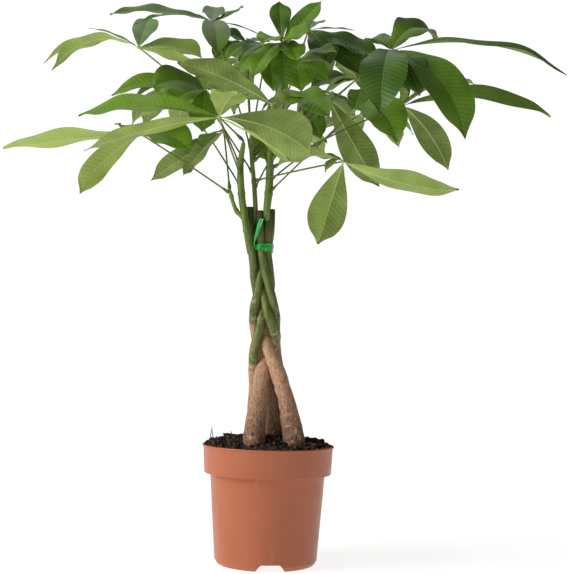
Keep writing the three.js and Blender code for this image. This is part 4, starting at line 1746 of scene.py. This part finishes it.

# each leaf's upper and under tones, and each leaflet's tint, are partly its own age and partly
# painted shade: leaves and leaflets that lie in shade are given darker tones
LEAVES = (
    CompoundLeaf(
        "leaf_01", "shoot_left", 546, 8, (-190, 30, 680), 0.55, 0.7,
        blades=(
            Blade(-315, 70, 655, 35, 34, -6), Blade(-340, 130, 680, 22, 30, 2),
            Blade(-275, 120, 730, 9, 6, 16), Blade(-190, 140, 755, 36, 2, -12),
            Blade(-110, 115, 690, 46, 11, -22), Blade(-110, 50, 660, 34, 2, -6),
        ),
    ),
    CompoundLeaf(
        "leaf_02", "shoot_middle", 535, 6, (-90, 20, 715), 0.3, 0.55,
        blades=(
            Blade(-225, 0, 715, 42, 11, 30), Blade(-200, 75, 725, 32, 14, 25),
            Blade(-95, 115, 765, 32, 0, 0), Blade(-55, 80, 755, 36, -4, -14),
            Blade(-75, -85, 640, 37, 18, 0), Blade(-25, 30, 700, 14, 5, 18),
        ),
    ),
    CompoundLeaf(
        "leaf_03", "shoot_right", 545, 4, (5, -30, 675), 0.6, 0.3,
        blades=(
            Blade(0, -10, 735, 29, 0, 75, belly=1.6, tint=-0.5),
            Blade(55, -15, 735, 32, 0, 60, -20, tint=-0.4),
            Blade(-20, -70, 660, 36, 10, 30, tint=0.2), Blade(-30, -85, 615, 34, 10, 30),
            Blade(40, -60, 680, 40, 4, 55), Blade(10, -45, 610, 34, 8, 60),
            Blade(25, -70, 640, 34, 8, 40),
        ),
    ),
    CompoundLeaf(
        "leaf_04", "shoot_right", 538, 6, (40, 30, 710), 0.0, 0.2,
        blades=(
            Blade(135, -10, 665, 38, 2, 45), Blade(105, 80, 725, 14, 3, 18),
            Blade(110, 10, 645, 44, 8, 50), Blade(70, -5, 655, 40, 6, 60),
            Blade(55, 100, 740, 30, 6, 20),
        ),
    ),
    CompoundLeaf(
        "leaf_05", "shoot_right", 522, 10, (145, -60, 660), 0.2, 0.2,
        blades=(
            Blade(210, 0, 690, 54, 29, 44), Blade(190, 75, 730, 34, 4, 16),
            Blade(115, -30, 680, 42, 8, 30), Blade(230, -125, 535, 55, 33, 58, tint=0.15),
            Blade(175, -115, 590, 44, 12, 60, tint=-0.3),
            Blade(125, -150, 555, 58, 34, 10, tint=-0.3), Blade(365, -75, 630, 44, 30, 24),
        ),
    ),
    CompoundLeaf(
        "leaf_06", "shoot_right", 512, 10, (165, -10, 600), 0.45, 0.05,
        blades=(
            Blade(355, -30, 585, 44, 27, 38, tint=0.3), Blade(275, 70, 650, 32, 18, 14),
            Blade(235, 45, 525, 38, 16, -50), Blade(140, -45, 625, 64, 12, 50),
        ),
    ),
    CompoundLeaf(
        "leaf_07", "shoot_middle", 496, 2, (85, -95, 510), 0.6, 0.5,
        blades=(
            Blade(55, -115, 405, 47, 0, -80, belly=1.3), Blade(225, -115, 475, 44, -11, -26),
            Blade(0, -65, 505, 40, 15, -10), Blade(60, -165, 485, 12, 10, 10),
            Blade(45, -10, 530, 18, 6, 14),
        ),
    ),
    CompoundLeaf(
        "leaf_08", "shoot_middle", 520, 8, (70, 10, 610), 0.45, 0.1,
        blades=(
            Blade(135, -25, 490, 44, -2, -64), Blade(40, 25, 605, 36, 12, -10),
        ),
    ),
    CompoundLeaf(
        "leaf_09", "shoot_right", 480, 0, (100, -45, 585), 0.4, 0.3,
        blades=(
            Blade(150, -95, 535, 54, 28, 60), Blade(110, -20, 620, 30, 0, 45),
            Blade(75, 15, 615, 34, 6, -20), Blade(130, 35, 610, 36, 6, 0),
        ),
    ),
    CompoundLeaf(
        "leaf_10", "shoot_right", 530, 4, (-5, -65, 585), 0.35, 0.2,
        blades=(
            Blade(-125, -85, 630, 44, 9, -30), Blade(-90, -30, 610, 42, 8, -18),
            Blade(30, -115, 585, 32, 4, -30), Blade(65, -130, 555, 46, 22, 46),
        ),
    ),
    CompoundLeaf(
        "leaf_11", "shoot_left", 500, 0, (-70, -100, 560), 0.85, 0.55,
        blades=(
            Blade(-230, -125, 510, 32, 8, -22), Blade(-250, -60, 565, 46, 19, 40),
            Blade(-45, -165, 575, 46, 10, -6, tint=0.1),
            Blade(45, -110, 515, 62, 16, -62, belly=1.7, tint=-0.35),
            Blade(20, -150, 500, 20, 3, -12),
        ),
    ),
    CompoundLeaf(
        "leaf_12", "side_branch", 478, 2, (-175, -30, 550), 0.7, 1.0,
        blades=(
            Blade(-350, -40, 525, 44, 4, -16), Blade(-245, -65, 465, 33, 12, -52),
            Blade(-105, -85, 520, 44, 14, 58), Blade(-215, 60, 580, 36, 0, 0),
        ),
    ),
    CompoundLeaf(
        "leaf_13", "shoot_left", 512, 6, (-95, -15, 615), 0.6, 0.6,
        blades=(
            Blade(-155, -80, 600, 48, 12, 66), Blade(-215, -30, 600, 38, 16, 42),
            Blade(-140, -50, 580, 34, 8, 58), Blade(-95, -30, 555, 38, 5, 58),
            Blade(-80, 30, 640, 34, 8, -10),
        ),
    ),
    CompoundLeaf(
        "leaf_14", "shoot_middle", 545, 4, (-45, 70, 700), 0.3, 0.3,
        blades=(
            Blade(-75, 50, 705, 30, 6, 50), Blade(-85, 20, 660, 36, 10, 55),
            Blade(-15, 130, 720, 34, 4, 10), Blade(-60, 140, 695, 36, 4, -10),
        ),
    ),
    CompoundLeaf(
        "leaf_15", "shoot_middle", 548, 4, (-15, 20, 685), 0.5, 0.4,
        blades=(
            Blade(-70, -20, 650, 22, 14, 40), Blade(-50, -45, 645, 18, 10, 45),
            Blade(-55, 20, 640, 28, 8, 50), Blade(-5, -10, 615, 30, 6, 50),
        ),
    ),
    CompoundLeaf(
        "leaf_16", "side_branch", 482, 0, (-70, 15, 565), 0.4, 0.4,
        blades=(
            Blade(-165, 5, 495, 36, 2, -34), Blade(-120, -15, 500, 30, 5, -34),
            Blade(-95, -20, 535, 34, 9, -6),
        ),
    ),
    CompoundLeaf(
        "leaf_17", "shoot_middle", 540, 4, (25, 0, 655), 1.0, 0.3,
        blades=(
            Blade(75, -45, 660, 30, 10, 42), Blade(65, -30, 625, 28, 6, 60),
            Blade(30, -20, 615, 40, 6, 55), Blade(70, 50, 670, 26, 8, -20),
        ),
    ),
    CompoundLeaf(
        "leaf_18", "shoot_middle", 525, 4, (35, 70, 610), 0.4, 0.3,
        blades=(
            Blade(60, 50, 565, 30, 6, 60), Blade(65, 60, 595, 30, 6, 12),
            Blade(60, 130, 620, 40, 10, 0),
        ),
    ),
    CompoundLeaf(
        "leaf_19", "shoot_right", 505, 4, (-25, 50, 570), 0.6, 0.4,
        blades=(
            Blade(-10, 40, 530, 36, 6, 55), Blade(10, 100, 565, 38, 10, 0),
        ),
    ),
    CompoundLeaf(
        "leaf_20", "shoot_right", 530, 4, (110, 75, 655), 0.3, 0.3,
        blades=(
            Blade(45, 45, 635, 42, 8, 40), Blade(80, 105, 680, 38, 6, -40),
            Blade(60, 30, 620, 42, 6, -24), Blade(145, 135, 660, 36, 8, 0),
        ),
    ),
    CompoundLeaf(
        "leaf_21", "shoot_middle", 505, 6, (-125, 125, 655), 0.4, 0.3,
        fan=Fan(135, 120, 46, 25, 5),
    ),
    CompoundLeaf(
        "leaf_22", "shoot_middle", 515, 6, (-50, 165, 698), 0.3, 0.3,
        fan=Fan(100, 120, 48, 25, 5),
    ),
    CompoundLeaf(
        "leaf_23", "shoot_right", 515, 6, (45, 170, 655), 0.2, 0.2,
        fan=Fan(85, 115, 46, 25, 5),
    ),
    CompoundLeaf(
        "leaf_24", "shoot_right", 495, 6, (115, 120, 612), 0.35, 0.2,
        fan=Fan(45, 100, 44, 18, 5),
    ),
    CompoundLeaf(
        "leaf_25", "shoot_left", 485, 6, (-130, 110, 620), 0.5, 0.4,
        fan=Fan(155, 95, 42, 14, 5),
    ),
    CompoundLeaf(
        "leaf_26", "shoot_middle", 484, 6, (15, 140, 592), 0.5, 0.3,
        fan=Fan(90, 90, 42, 18, 5),
    ),
    CompoundLeaf(
        "leaf_27", "shoot_middle", 530, 6, (80, 149, 713), 0.3, 0.2,
        fan=Fan(55, 105, 42, 25, 5),
    ),
)


def main() -> None:
    """Builds the studio and then the plant, from the pot up."""
    logging.basicConfig(level=logging.INFO, format="%(name)s: %(message)s")
    Studio().build()
    Pot().build()
    LOG.info("pot")
    blocked = tuple(
        (*stem.trunk.point(Soil.STEM_FOOT).xy, Soil.STEM_ROOM) for stem in STEMS
    )
    Soil(blocked=blocked).build()
    LOG.info("soil")
    for part in (*STEMS, *SHOOTS):
        part.build()
        LOG.info(part.trunk.name)
    TIE.build()
    LOG.info("tie")
    shoots = {shoot.trunk.name: shoot.trunk for shoot in SHOOTS}
    for leaf in LEAVES:
        leaf.build(shoots)
        LOG.info(leaf.name)


if __name__ == "__main__":
    main()
